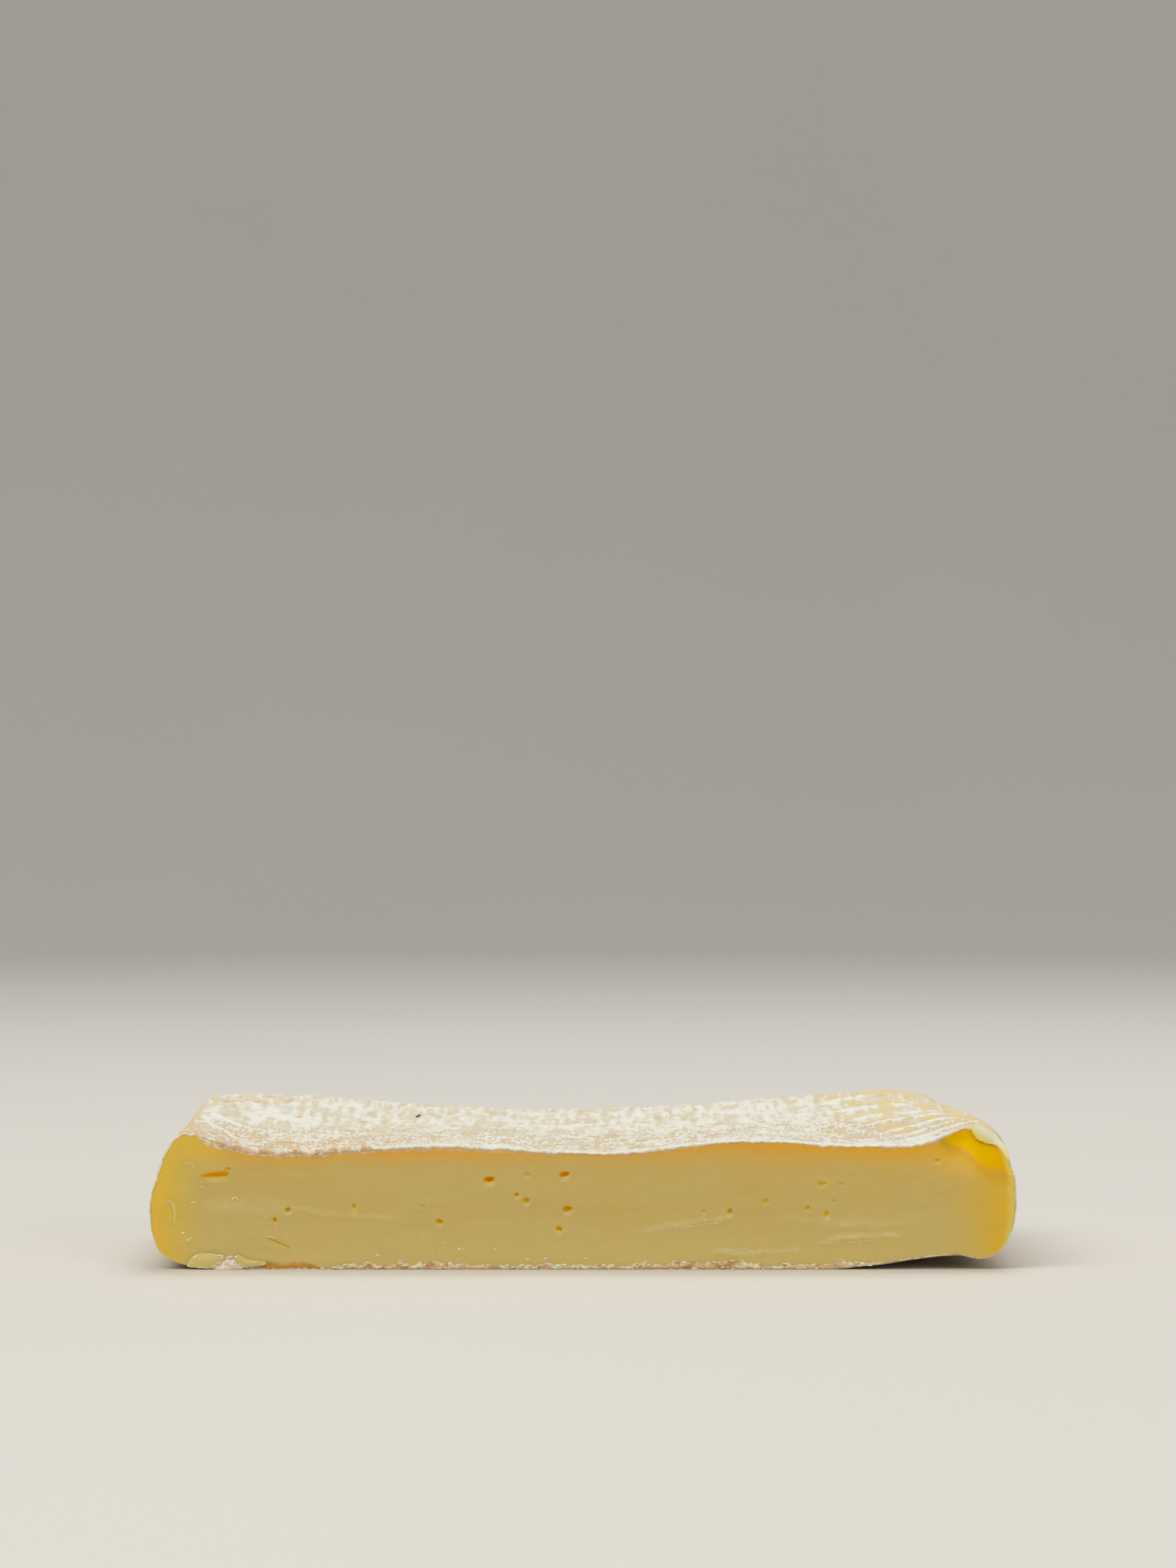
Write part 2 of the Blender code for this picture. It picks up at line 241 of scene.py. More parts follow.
def joinPieces(pieces, name):
    deselect()
    for piece in pieces:
        piece.select_set(True)
    bpy.context.view_layer.objects.active = pieces[0]
    if len(pieces) > 1:
        bpy.ops.object.join()
    pieces[0].name = name
    return pieces[0]


# turns the faces outwards, and joins points that meet if asked
def closeUp(joinPoints=False):
    bpy.ops.object.mode_set(mode="EDIT")
    bpy.ops.mesh.select_all(action="SELECT")
    if joinPoints:
        bpy.ops.mesh.remove_doubles(threshold=0.002 * mm)
    bpy.ops.mesh.normals_make_consistent(inside=False)
    bpy.ops.object.mode_set(mode="OBJECT")


# keeps a point inside the box of the solid
def inBox(point):
    low, high = (Vector(corner) / mm for corner in cadBox)
    clear = block["clear"]
    return Vector(min(max(point[axis], low[axis] + clear * (axis < 2)), high[axis] - clear)
                  for axis in range(3))


def readPoints(obj):
    points = np.empty(len(obj.data.vertices) * 3)
    obj.data.vertices.foreach_get("co", points)
    return points.reshape(-1, 3)


def writePoints(obj, points, scale=mm):
    flat = np.array([tuple(p) for p in points]).reshape(-1) * scale
    obj.data.vertices.foreach_set("co", flat)
    obj.data.update()


# a vector for each point, which the materials read by its name
def writeMarks(obj, name, values):
    mark = obj.data.attributes.new(name, "FLOAT_VECTOR", "POINT")
    mark.data.foreach_set("vector", np.array([tuple(v) for v in values]).reshape(-1))


def scaled(point, factors):
    return Vector([part * factor for part, factor in zip(point, factors)])


def pick(obj):
    deselect()
    obj.select_set(True)
    bpy.context.view_layer.objects.active = obj


def finishPiece(obj, material):
    obj.data.materials.clear()
    obj.data.materials.append(material)
    pick(obj)
    bpy.ops.object.shade_smooth_by_angle(angle=math.radians(50))
    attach(obj, "root")
    return obj


# relief of the rind and of the cut

rind = {
    "waves": (0.25, 16.0),  # height, length
    "lumps": (0.20, 6.0),
    "grain": (0.10, 1.7),
    "pits": (0.35, 3.6, 0.30),  # depth, length, how rare
    # folds pressed in by the cloth: from (x, depth) to (x, depth), bow, height, width
    "folds": (
        (-91, 90, -74, 56, 2.0, 0.55, 1.3),
        (-100, 71, -84, 38, 3.0, 0.50, 1.5),
        (-84, 80, -69, 55, 1.5, 0.40, 1.1),
        (-99, 54, -88, 18, 4.0, 0.35, 1.2),
        (-63, 98, -58, 70, 1.0, 0.30, 1.0),
        (66, 66, 88, 76, -3.0, 0.55, 2.2),
        (70, 54, 95, 62, -3.0, 0.55, 1.5),
        (74, 44, 97, 53, -3.0, 0.50, 1.3),
        (78, 28, 99, 41, -3.0, 0.55, 1.5),
        (79, 19, 101, 30, -2.5, 0.45, 1.2),
        (82, 12, 101, 19, -1.5, 0.40, 1.1),
        (60, 80, 78, 92, -2.0, 0.35, 1.6),
        (-20, 60, 10, 74, 2.0, 0.25, 1.2),
        (30, 84, 52, 66, 2.0, 0.25, 1.2),
    ),
    "mat": (0.13, 3.4),  # height and pitch of the lines pressed into the rear of the top
    "sideLines": (0.16, 2.9, 0.45),  # height, pitch, slant
    # how much white mould each form or place adds, or takes away where it is below 0
    "white": {"lumps": 0.25, "pits": -1.6, "mat": 0.10, "sideLines": 0.22, "scoopSmear": 0.9, "lip": 0.28,
              "corner": -0.20, "side": -0.22, "under": -0.55, "frontLeft": -0.05, "right": 0.12},
}

cut = {
    "waves": (0.20, 30.0),
    "drag": (0.10, 22.0, 3.2),  # height, length along the knife's way, length across it
    # streaks that the knife dragged: from (x, z) to (x, z), bow, height, width, and how pale
    "streaks": (
        (-98.0, 16.6, -73.0, 16.2, 0.4, 0.05, 2.6, 0.55),
        (-74.8, 16.0, -45.3, 12.8, 0.6, 0.16, 0.7, 0.7),
        (13.5, 9.4, 38.6, 13.2, -0.6, 0.12, 0.8, 0.9),
        (46.0, 13.4, 76.0, 12.5, 0.5, 0.10, 0.9, 0.45),
        (31.7, 4.7, 57.2, 5.1, 0.5, 0.16, 0.7, 1.1),
        (59.3, 6.9, 82.0, 8.7, -0.7, 0.30, 0.7, 1.0),
        (59.8, 10.8, 86.0, 12.3, 0.3, 0.16, 1.0, 0.5),
        (-5.8, 2.6, 32.0, 2.5, 0.3, 0.06, 0.5, 0.3),
        (90.6, 32.0, 90.8, 9.5, 0.2, 0.03, 0.6, 0.3),
    ),
    # how orange the paste is under the lip, and how far down, by x: partly the paste's own riper colour under
    # the rind, partly painted glow of light coming through the rind
    "warmth": ((-100, 0.5), (-95, 0.95), (-86, 1.05), (-76, 0.9), (-40, 0.95), (-8, 0.72), (14, 0.62),
               (26, 0.95), (50, 1.1), (90, 1.1), (100, 0.5)),
    "warmReach": ((-96, 2.0), (-84, 2.3), (-70, 1.9), (-40, 2.3), (0, 1.9), (24, 2.4), (50, 4.0),
                  (66, 3.4), (80, 3.4), (92, 5.0)),
    "bareFoot": (-82.5, -58.0, 1.50),  # brown band where no crust is left: from x, to x, height
    # the paleness below an eye is a painted highlight where its rim catches the light
    "halo": (0.14, 1.3, 0.62),  # raised lip round an eye: height, width, and how pale it is below
    # a shallow dent: x, z, half width, half height, depth, and how golden
    "dent": (-104.2, 14.0, 0.9, 2.9, 0.3, 1.2),
}

# eyes in the paste: x, z, width, height, tilt, depth, and how much one end is thinner than the other
eyes = (
    (-93.3, 24.0, 7.0, 1.45, 4, 2.1, -0.34),
    (-90.0, 25.5, 1.7, 0.65, 4, 1.0, 0.2),
    (-74.7, 15.2, 1.45, 1.1, 20, 1.6, 0.1),
    (-78.1, 12.6, 1.1, 1.1, 0, 1.4, 0.0),
    (-58.0, 16.1, 1.0, 1.0, 0, 1.1, 0.0),
    (-77.0, 6.75, 5.8, 0.42, -22, 0.40, 0.35),
    (-36.3, 12.2, 1.8, 1.1, -8, 1.6, 0.1),
    (-23.7, 22.8, 2.8, 1.5, 4, 2.6, 0.1),
    (-16.8, 19.0, 1.3, 0.9, 0, 1.3, 0.0),
    (-14.3, 17.6, 1.7, 1.2, 5, 1.6, 0.1),
    (-4.7, 24.1, 2.7, 1.4, 13, 2.4, 0.15),
    (-3.9, 15.4, 2.5, 1.5, 6, 2.4, 0.1),
    (-6.0, 10.3, 1.8, 1.1, -16, 1.6, 0.1),
    (37.3, 14.8, 1.4, 1.2, 0, 1.6, 0.0),
    (46.4, 17.5, 1.5, 0.8, -6, 0.9, 0.1),
    (57.0, 15.7, 1.1, 0.9, 0, 1.1, 0.0),
    (61.8, 14.2, 1.4, 1.2, 0, 1.1, 0.0),
    (60.6, 21.8, 2.2, 0.70, 2, 0.8, 0.2),
    (90.0, 27.7, 1.5, 0.55, 3, 0.8, 0.1),
    # faint ones
    (-14.1, 24.1, 1.5, 0.9, 0, 0.30, 0.0),
    (-40.5, 16.1, 1.3, 0.55, 0, 0.28, 0.1),
    (30.7, 14.8, 1.2, 0.7, 0, 0.24, 0.0),
    (63.9, 17.4, 1.2, 0.6, -4, 0.26, 0.1),
    (65.5, 21.8, 1.3, 0.35, 3, 0.24, 0.0),
)


# how near a bowed line is, from 0 to 1, with the line's height
def nearLine(x, y, line):
    x0, y0, x1, y1, bow, height, width = line
    way = Vector((x1 - x0, y1 - y0))
    share = ((x - x0) * way.x + (y - y0) * way.y) / way.length_squared
    if share < -0.15 or share > 1.15:
        return 0.0, height
    away = ((x - x0) * way.y - (y - y0) * way.x) / way.length - bow * (1.0 - (2.0 * share - 1.0) ** 2)
    if abs(away) > 3.0 * width:
        return 0.0, height
    fade = smooth((share + 0.1) / 0.3) * smooth((1.1 - share) / 0.3)
    return bump(away, width) * fade, height


# height above the plain form, and how much white mould there is
def rindRelief(point, normal, depth):
    x, mould = point.x, rind["white"]
    top = smooth((normal.z - 0.25) / 0.5)
    under = smooth((-normal.z - 0.35) / 0.4)
    side = 1.0 - top - under
    high, long = rind["waves"]
    height = high * noise.fractal(point / long, 1.0, 2.0, 2)
    high, long = rind["lumps"]
    lumps = noise.fractal(point / long + Vector((3, 7, 1)), 1.0, 2.0, 3)
    height += high * lumps * (1.0 - 0.6 * under)
    white = mould["lumps"] * lumps
    height -= 0.12 + 0.15 * side  # what the crusts stand proud by
    high, long = rind["grain"]
    height += high * noise.fractal(point / long, 0.9, 2.0, 2)
    deep, long, rare = rind["pits"]
    pit = max(0.0, noise.noise(point / long + Vector((11, 2, 5))) - rare) * (1.0 - under)
    height -= deep * pit * 2.0
    white += mould["pits"] * pit
    if top > 0.0:
        bend = 2.5 * noise.noise(Vector((x, depth, 0.0)) / 16.0)
        bend += 0.8 * noise.noise(Vector((x, depth, 5.0)) / 4.0)
        for fold in rind["folds"]:
            near, high = nearLine(x + bend, depth + bend, fold)
            height += top * high * near
            white += near * (0.95 + 1.3 * wobble(x / 6.0, depth / 2.2, 3.0))
        high, pitch = rind["mat"]
        rear = smooth((depth - 45.0) / 30.0) * top
        lines = math.sin(2.0 * math.pi * (x + 1.2 * noise.noise(point / 9.0)) / pitch)
        height += high * lines * rear * (0.5 + 0.5 * noise.noise(point / 11.0))
        white += mould["mat"] * lines * rear
    if side > 0.0:
        high, pitch, slant = rind["sideLines"]
        way = x + depth if x < 0.0 else x - depth + 2.0 * block["depth"]  # round the block from the left
        lines = math.sin(2.0 * math.pi * (way + slant * point.z + 1.5 * noise.noise(point / 8.0)) / pitch)
        height += high * lines * side * (0.6 + 0.5 * noise.noise(point / 13.0))
        white += mould["sideLines"] * lines * side
    if x > 98.5:  # the smear beside the scoop
        here = bump(depth - 1.8, 1.3) * smooth((x - 98.5) / 2.0) * smooth((107.5 - x) / 2.0)
        white += mould["scoopSmear"] * here
    alongLip = smooth((11.0 - depth) / 8.0) * smooth((x + 62.0) / 8.0) * smooth((100.0 - x) / 10.0)
    corner = 1.0 - abs(2.0 * abs(normal.z) - 1.0)  # 1 where the top or the bottom turns into the side
    frontLeft = smooth((-x - 40.0) / 14.0) * smooth((34.0 - depth) / 12.0)
    right = smooth((x - 5.0) / 40.0) * smooth((95.0 - depth) / 10.0) * smooth((102.0 - x) / 14.0)
    right *= 1.0 - smooth((x - 62.0) / 16.0) * smooth((depth - 6.0) / 12.0)  # straw shows there
    white += mould["corner"] * corner * corner + mould["side"] * side + mould["under"] * under
    white += top * (mould["lip"] * alongLip + mould["frontLeft"] * frontLeft + mould["right"] * right)
    return height, white


# how far the cut stands forward, and how pale it is there; the paleness below the eyes is a painted highlight
def cutRelief(x, z):
    high, long = cut["waves"]
    forward = high * noise.noise(Vector((x, 0.0, z)) / long)
    high, longAlong, longAcross = cut["drag"]
    drag = rugged(x / longAlong, 4.0, (z - 0.04 * x) / longAcross, 1.0, 2.0, 3)
    forward += high * drag
    pale = 0.10 * drag
    wander = 0.5 * wobble(x / 4.0, 9.0, z / 4.0)
    for streak in cut["streaks"]:
        near, high = nearLine(x, z + wander, streak[:7])
        rough = 0.55 + 0.9 * abs(wobble(x / 1.9, 2.0, z / 1.5))
        forward += high * near * rough
        pale += streak[7] * near * rough
    high, wide, rimHighlight = cut["halo"]
    for eyeX, eyeZ, width, tall, tilt, deep, thin in eyes:
        reach = math.hypot((x - eyeX) / (width / 2.0 + wide), (z - eyeZ) / (tall / 2.0 + wide))
        if reach < 1.6:
            forward += high * bump(reach - 0.8, 0.35)
        # a painted highlight below each eye, where the rim catches the light
        if abs(x - eyeX) < width / 2.0 + 2.0 and abs(z - eyeZ) < 5.0:
            below = z - eyeZ + tall / 2.0 + 0.5 - math.tan(math.radians(tilt)) * (x - eyeX)
            spread = 0.6 if below > 0.0 else 0.3 + 0.5 * tall
            away = math.hypot((x - eyeX - 0.1) / (width / 2.0 + 0.15), below / spread)
            pale += rimHighlight * bump(away * away, 1.0) * min(1.0, tall)
    dentX, dentZ, wide, tall, deep, golden = cut["dent"]
    inDent = bump(math.hypot((x - dentX) / wide, (z - dentZ) / tall), 1.0)
    return forward - deep * inDent, pale - golden * inDent


# from 0 to 1, how orange the paste is under the lip, partly its own riper colour and partly painted glow of
# light through the rind
def underLip(x, z):
    below = min(0.0, z - along(topCrust["hangs"], x))
    return along(cut["warmth"], x) * math.exp(below / along(cut["warmReach"], x))


# how far a point is under the top of the bare brown band at the foot
def underBand(x, z):
    begin, end, high = cut["bareFoot"]
    high -= 3.0 * smooth((begin - x) / 1.5 + 0.5) + 3.0 * smooth((x - end) / 3.0)
    return high - z - 1.4 * smooth((x - begin - 11.0) / 8.0)


cutEdges = {"top": [], "foot": [], "left": [], "right": []}  # filled by the block, used by the crusts


def makeBlock(material):
    obj = sheetOfQuads("cheeseBlock", block["columns"], block["rows"])
    bpy.ops.object.mode_set(mode="EDIT")
    bpy.ops.mesh.select_all(action="SELECT")
    bpy.ops.mesh.extrude_region_move(TRANSFORM_OT_translate={"value": (0, 0, 1)})
    bpy.ops.mesh.select_all(action="DESELECT")
    bm = bmesh.from_edit_mesh(obj.data)
    for edge in bm.edges:
        edge.select_set(abs(edge.verts[0].co.z - edge.verts[1].co.z) > 0.5)
    bmesh.update_edit_mesh(obj.data)
    bpy.ops.mesh.subdivide(number_cuts=block["layers"] - 1)
    closeUp()

    plain = readPoints(obj)
    depths, points = [], []
    for x, y, share in plain:
        back = (y + 1.0) / 2.0
        back = mix(back, back * back, block["rowBias"])
        x, depth, z = blockPoint(x * block["halfWidth"], back * block["depth"], share)
        depths.append(depth)
        points.append(placed(x, depth, z))
    writePoints(obj, points)
    normals = np.empty(len(points) * 3)
    obj.data.vertices.foreach_get("normal", normals)

    edges, marks, zones = [], [], []
    for index, normal in enumerate(normals.reshape(-1, 3)):
        (x, y, share), point, depth = plain[index], points[index], depths[index]
        normal = Vector(normal)
        onCut = y < -0.999
        onEdge = onCut and (abs(x) > 0.999 or share < 0.001 or share > 0.999)
        thick = topHeight(point.x, 0.0) - along(block["bottom"], point.x)
        toSide, rim = (1.0 - abs(x)) * block["halfWidth"], -depth
        if onCut:
            overFold = 2.0 * bump(point.x - 102.4, 2.2)  # where the rind is peeled forward
            rim = min(toSide, (1.0 - share) * thick - overFold, share * thick)
        # the middle value is the orange under the lip, partly painted glow of light through the rind
        edges.append((toSide, underLip(point.x, point.z), rim))
        scoop = scoopAt(point.x, point.z, depth) if onCut else 0.0
        past = pastEdge(point.x, point.z)
        bright = smooth(past / 2.6 + 0.4) * smooth((point.x - 89.0) / 4.0) if onCut else 0.0
        zones.append((point.z - along(topCrust["hangs"], point.x), past, underBand(point.x, point.z)))
        height, white = rindRelief(point, normal, depth) if onEdge or not onCut else (0.0, 0.0)
        if onEdge:
            normal = Vector((normal.x, 0.0, normal.z)).normalized()
            height *= 0.6
        if share < 0.001 and point.z < 0.4:
            height = max(0.0, -0.3 * height) if depth > 1.0 else 0.0
        moved = point + normal * height
        if onCut:
            # on the cut, white holds the pale streaks and the painted highlight below the eyes
            forward, white = cutRelief(point.x, point.z)
            moved.y -= forward * (1.0 - smooth(scoop * 2.0))
            moved.y += block["scoop"]["step"] * bright
        points[index] = inBox(moved)
        marks.append((white, bright))
        if onEdge:
            run = "top" if share > 0.999 else "foot" if share < 0.001 else "left" if x < 0.0 else "right"
            cutEdges[run].append(points[index])
            if abs(x) > 0.999 and run in ("top", "foot"):
                cutEdges["left" if x < 0.0 else "right"].append(points[index])
    for run, axis in (("top", 0), ("foot", 0), ("left", 2), ("right", 2)):
        cutEdges[run].sort(key=lambda spot: spot[axis])
    writePoints(obj, points)
    cutEyes(obj)
    known = KDTree(len(points))
    for index, point in enumerate(points):
        known.insert(point, index)
    known.balance()
    afterEdges, afterMarks, afterZones = [], [], []
    for point in readPoints(obj) / mm:
        place, index, away = known.find(point)
        (white, scoop), eye = marks[index], -1.0
        if away > 0.001:
            # on the wall of an eye: how deep in
            white, eye = 0.0, max(0.0, point[1] - onCutFace(point[0], point[2]).y)
        afterEdges.append(edges[index])
        afterZones.append(zones[index])
        afterMarks.append((white, scoop, eye))
    writeMarks(obj, "edges", afterEdges)
    writeMarks(obj, "marks", afterMarks)
    writeMarks(obj, "zones", afterZones)
    return finishPiece(obj, material)


# where a point on the cut face lies, standing forward by a little
def onCutFace(x, z, forward=0.0):
    back = block["scoop"]["back"] * scoopAt(x, z, 0.0)
    return Vector((x, block["cutY"] + back - cutRelief(x, z)[0] - forward, z))


# each eye is a lopsided ball sunk in the cut; all are taken out together
def cutEyes(obj):
    balls = []
    for x, z, width, tall, tilt, deep, thin in eyes:
        deselect()
        bpy.ops.mesh.primitive_uv_sphere_add(segments=32, ring_count=16, radius=1)
        ball = bpy.context.object
        turn = Euler((0.0, -math.radians(tilt), 0.0)).to_matrix()
        points = []
        for point in readPoints(ball):
            point = Vector(point)
            blunt = 1.0
            if width > 5.0:
                blunt = (abs(point.x) ** 3.0 + (1.0 - point.x * point.x) ** 1.5) ** (-1.0 / 3.0)
            uneven = 1.0 + 0.16 * noise.noise(point * 1.3 + Vector((x, 0.0, z)))
            slim = 1.0 - thin * point.x
            size = Vector((width * 0.53 * blunt, deep * 0.80, tall * 0.53 * slim * blunt))
            points.append(turn @ (scaled(point, size) * uneven) + onCutFace(x, z, 0.15 * deep))
        writePoints(ball, points)
        balls.append(ball)
    cutter = joinPieces(balls, "eyeCutter")
    before = len(obj.data.vertices)
    hollow = obj.modifiers.new("eyes", "BOOLEAN")
    hollow.operation = "DIFFERENCE"
    hollow.object = cutter
    hollow.solver = "EXACT"
    pick(obj)
    bpy.ops.object.modifier_apply(modifier="eyes")
    bpy.data.objects.remove(cutter, do_unlink=True)
    print("eyes cut", before, "to", len(obj.data.vertices), "points")


# materials

def shade(red, green, blue):
    parts = [value / 255.0 for value in (red, green, blue)]
    return tuple(p / 12.92 if p <= 0.04045 else ((p + 0.055) / 1.055) ** 2.4 for p in parts) + (1.0,)


def newMaterial(name):
    material = bpy.data.materials.new(name)
    material.use_nodes = True
    return material, material.node_tree, material.node_tree.nodes["Principled BSDF"]


# links a socket or sets a value; colours are red, green and blue from 0 to 255
def feed(value, socket):
    if isinstance(value, bpy.types.NodeSocket):
        socket.id_data.links.new(value, socket)
    else:
        socket.default_value = shade(*value) if socket.type == "RGBA" else value


# a new node in the tree of the first socket among the values
def newNode(kind, *values):
    tree = next(value.id_data for value in values if isinstance(value, bpy.types.NodeSocket))
    return tree.nodes.new(kind)


# coordinates in millimetres, stretched where the pattern is
def spots(tree, stretch=(1.0, 1.0, 1.0), offset=(0.0, 0.0, 0.0)):
    place = tree.nodes.new("ShaderNodeTexCoord")
    mapping = tree.nodes.new("ShaderNodeMapping")
    mapping.inputs["Scale"].default_value = [1.0 / (mm * part) for part in stretch]
    mapping.inputs["Location"].default_value = offset
    feed(place.outputs["Object"], mapping.inputs["Vector"])
    return mapping.outputs["Vector"]


# noise with its length in millimetres
def cloudy(where, length, detail=3.0, roughness=0.5, distortion=0.0):
    node = newNode("ShaderNodeTexNoise", where)
    feed(where, node.inputs["Vector"])
    for name, value in (("Scale", 1.0 / length), ("Detail", detail), ("Roughness", roughness),
                        ("Distortion", distortion)):
        feed(value, node.inputs[name])
    return node.outputs["Fac"]


def graded(value, low, high, start=0.0, end=1.0):
    node = newNode("ShaderNodeMapRange", value)
    node.interpolation_type = "SMOOTHSTEP"
    for name, setting in (("Value", value), ("From Min", low), ("From Max", high), ("To Min", start),
                          ("To Max", end)):
        feed(setting, node.inputs[name])
    return node.outputs["Result"]


# noise spread over a range of values
def unsteady(pattern, low, high):
    return graded(pattern, 0.3, 0.7, low, high)


# one sum over two or more sockets or numbers, from the left
def maths(operation, value, *others):
    for other in others:
        node = newNode("ShaderNodeMath", value, other)
        node.operation = operation
        feed(value, node.inputs[0])
        feed(other, node.inputs[1])
        value = node.outputs[0]
    return value


plus, minus, times, most = (partial(maths, name) for name in ("ADD", "SUBTRACT", "MULTIPLY", "MAXIMUM"))


# 1 where the value meets the middle, fading to 0 at a distance
def lineAt(value, middle, distance):
    return graded(maths("ABSOLUTE", minus(value, middle), 0.0), distance, 0.0)


def blend(share, first, second, mode="MIX"):
    node = newNode("ShaderNodeMix", share, first, second)
    node.data_type = "RGBA"
    node.blend_type = mode
    for index, value in ((0, share), (6, first), (7, second)):
        feed(value, node.inputs[index])
    return node.outputs[2]


# lays tints over a colour one after the other, each as (share, tint)
def layered(colour, *layers):
    for share, tint in layers:
        colour = blend(share, colour, tint)
    return colour


def partsOf(vector):
    node = newNode("ShaderNodeSeparateXYZ", vector)
    feed(vector, node.inputs["Vector"])
    return node.outputs


def marksOf(tree, name="marks"):
    node = tree.nodes.new("ShaderNodeAttribute")
    node.attribute_name = name
    return partsOf(node.outputs["Vector"])


# soft: how light spreads under the surface, as weight, radius for red, green and blue, and scale in metres
def setShader(shader, colour, roughness, soft=()):
    names = ("Subsurface Weight", "Subsurface Radius", "Subsurface Scale")
    for name, value in (("Base Color", colour), ("Roughness", roughness), *zip(names, soft)):
        feed(value, shader.inputs[name])


def addBump(shader, height, distance, strength=1.0):
    node = newNode("ShaderNodeBump", height)
    for name, value in (("Height", height), ("Distance", distance * mm), ("Strength", strength)):
        feed(value, node.inputs[name])
    feed(node.outputs["Normal"], shader.inputs["Normal"])


paste = {
    "soft": (0.35, (1.0, 0.55, 0.16), 0.004),
    "roughness": (0.85, 0.52),  # of the rind, of the paste
    "heart": (203, 181, 107),
    "heartWarm": (204, 177, 99),
    "heartLow": (213, 191, 116),
    # the golden sides and the orange under the top are partly the paste's own riper colour near the rind,
    # partly painted glow of light through the rind
    "leftSide": (228, 190, 56),
    "rightSide": (224, 180, 26),
    "underTop": (226, 166, 44),
    "underTopRight": (228, 172, 20),
    "fringe": (224, 194, 144),
    "fringeDark": (212, 172, 118),
    "fringeLeft": (206, 172, 130),
    "scoop": (227, 178, 0),
    "scoopLeft": (238, 193, 0),
    "scoopEdge": (214, 159, 2),
    "atRim": (224, 202, 96),
    "eyeRim": (196, 158, 48),
    "eyeShallow": (240, 208, 16),
    "eyeLow": (252, 196, 0),
    "eyeHigh": (248, 160, 0),
    "streak": (224, 209, 150),
    "foot": (198, 128, 20),
}

bloom = {
    "cream": (223, 215, 193),
    "white": (232, 230, 218),
    "tan": (208, 190, 152),
    "peach": (219, 198, 160),
    "straw": (220, 202, 146),
    # strawRight is partly painted light, lifting the shade on the right shoulder
    "strawRight": (228, 204, 143),
    "ochre": (220, 186, 128),
    # grey: painted shade among the mould
    "grey": (200, 193, 171),
    # outline: the thin lines are partly the tan under the mould, partly painted shade in fine creases
    "outline": (190, 152, 102),
    "under": (206, 180, 136),
    # yellow: partly the straw of the rind, partly painted light lifting the shade beside the scoop
    "yellow": (232, 214, 104),
    "sideTan": (214, 178, 122),
    "sideGold": (224, 194, 136),
}


def pasteLook(tree, where, edge, mark, zone):
    x, y, z = partsOf(where)
    slow = cloudy(spots(tree, (3.0, 1.0, 1.0)), 9.0)
    fine = cloudy(spots(tree, (2.2, 1.0, 1.0)), 1.1, 3.0, 0.6)
    left, right = graded(x, -50.0, -62.0), graded(x, -20.0, 20.0)
    orange = blend(graded(x, 30.0, 84.0), paste["underTop"], paste["underTopRight"])
    # golden towards the sides and the scoop, and in the upper left corner; this and the orange under the lip
    # are partly the paste's own riper colour near the rind, partly painted glow of light through the rind
    toSide = plus(edge[0], graded(slow, 0.2, 0.8, -2.0, 2.0))
    golden = most(graded(toSide, graded(x, -20.0, 20.0, 16.0, 21.0), -1.0),
                  graded(zone[1], -9.0, 0.0, 0.0, 0.8),
                  times(graded(z, 23.0, 31.0, 0.0, 0.8), graded(x, -86.0, -98.0)))
    # the bare band at the foot, and the stain at the lip
    streaks = cloudy(spots(tree, (2.0, 1.0, 1.0)), 0.9)
    band = plus(zone[2], unsteady(cloudy(where, 2.2, 4.0, 0.6), -0.5, 0.5))
    foot = blend(graded(streaks, 0.3, 0.8, 0.0, 0.35), paste["foot"], paste["leftSide"])
    lip = plus(zone[0], unsteady(cloudy(where, 1.3), -0.3, 0.3))
    fringe = blend(graded(cloudy(where, 1.6, 4.0), 0.4, 0.62), blend(left, paste["fringe"], bloom["cream"]),
                   blend(left, paste["fringeDark"], paste["fringeLeft"]))
    deep = layered(paste["scoopEdge"], (graded(zone[1], -0.6, 1.4),
                                        blend(graded(x, 97.0, 102.5), paste["scoopLeft"], paste["scoop"])))
    inScoop = times(graded(zone[1], -3.8, 0.1), graded(x, 88.0, 93.0), graded(edge[0], 1.0, 3.0, 0.10, 1.0))
    # from the rim of an eye to its deepest part
    eye = blend(graded(z, 17.0, 25.0), paste["eyeLow"], paste["eyeHigh"])
    eye = blend(graded(mark[2], 0.4, 2.2), paste["eyeShallow"], eye)
    eye = blend(graded(mark[2], -0.1, 0.5), paste["eyeRim"], eye)
    colour = layered(
        paste["heart"],
        (graded(slow, 0.3, 0.7), paste["heartWarm"]),
        (graded(z, 16.0, 0.0, 0.0, 0.9), paste["heartLow"]),
        (times(edge[1], graded(slow, 0.3, 0.7, 0.85, 1.1)), orange),
        (golden, blend(right, paste["leftSide"], paste["rightSide"])),
        (times(graded(edge[0], 3.4, 0.8, 0.0, 0.8), right), paste["atRim"]),
        (graded(band, -0.8, 0.6, 0.0, 0.95), foot),
        # pale streaks, and the painted highlight below the eyes
        (graded(mark[0], 0.04, 1.0, 0.0, 0.62), paste["streak"]),
        (graded(mark[0], -0.15, -1.0, 0.0, 0.8), paste["leftSide"]),
        (times(graded(lip, -0.45, 0.35), graded(x, 10.0, -40.0, 0.4, 1.0)), fringe),
        (inScoop, deep),
        (graded(mark[2], -0.1, 0.2), eye))
    return blend(1.0, colour, graded(fine, 0.25, 0.75, 0.98, 1.02), "MULTIPLY"), fine


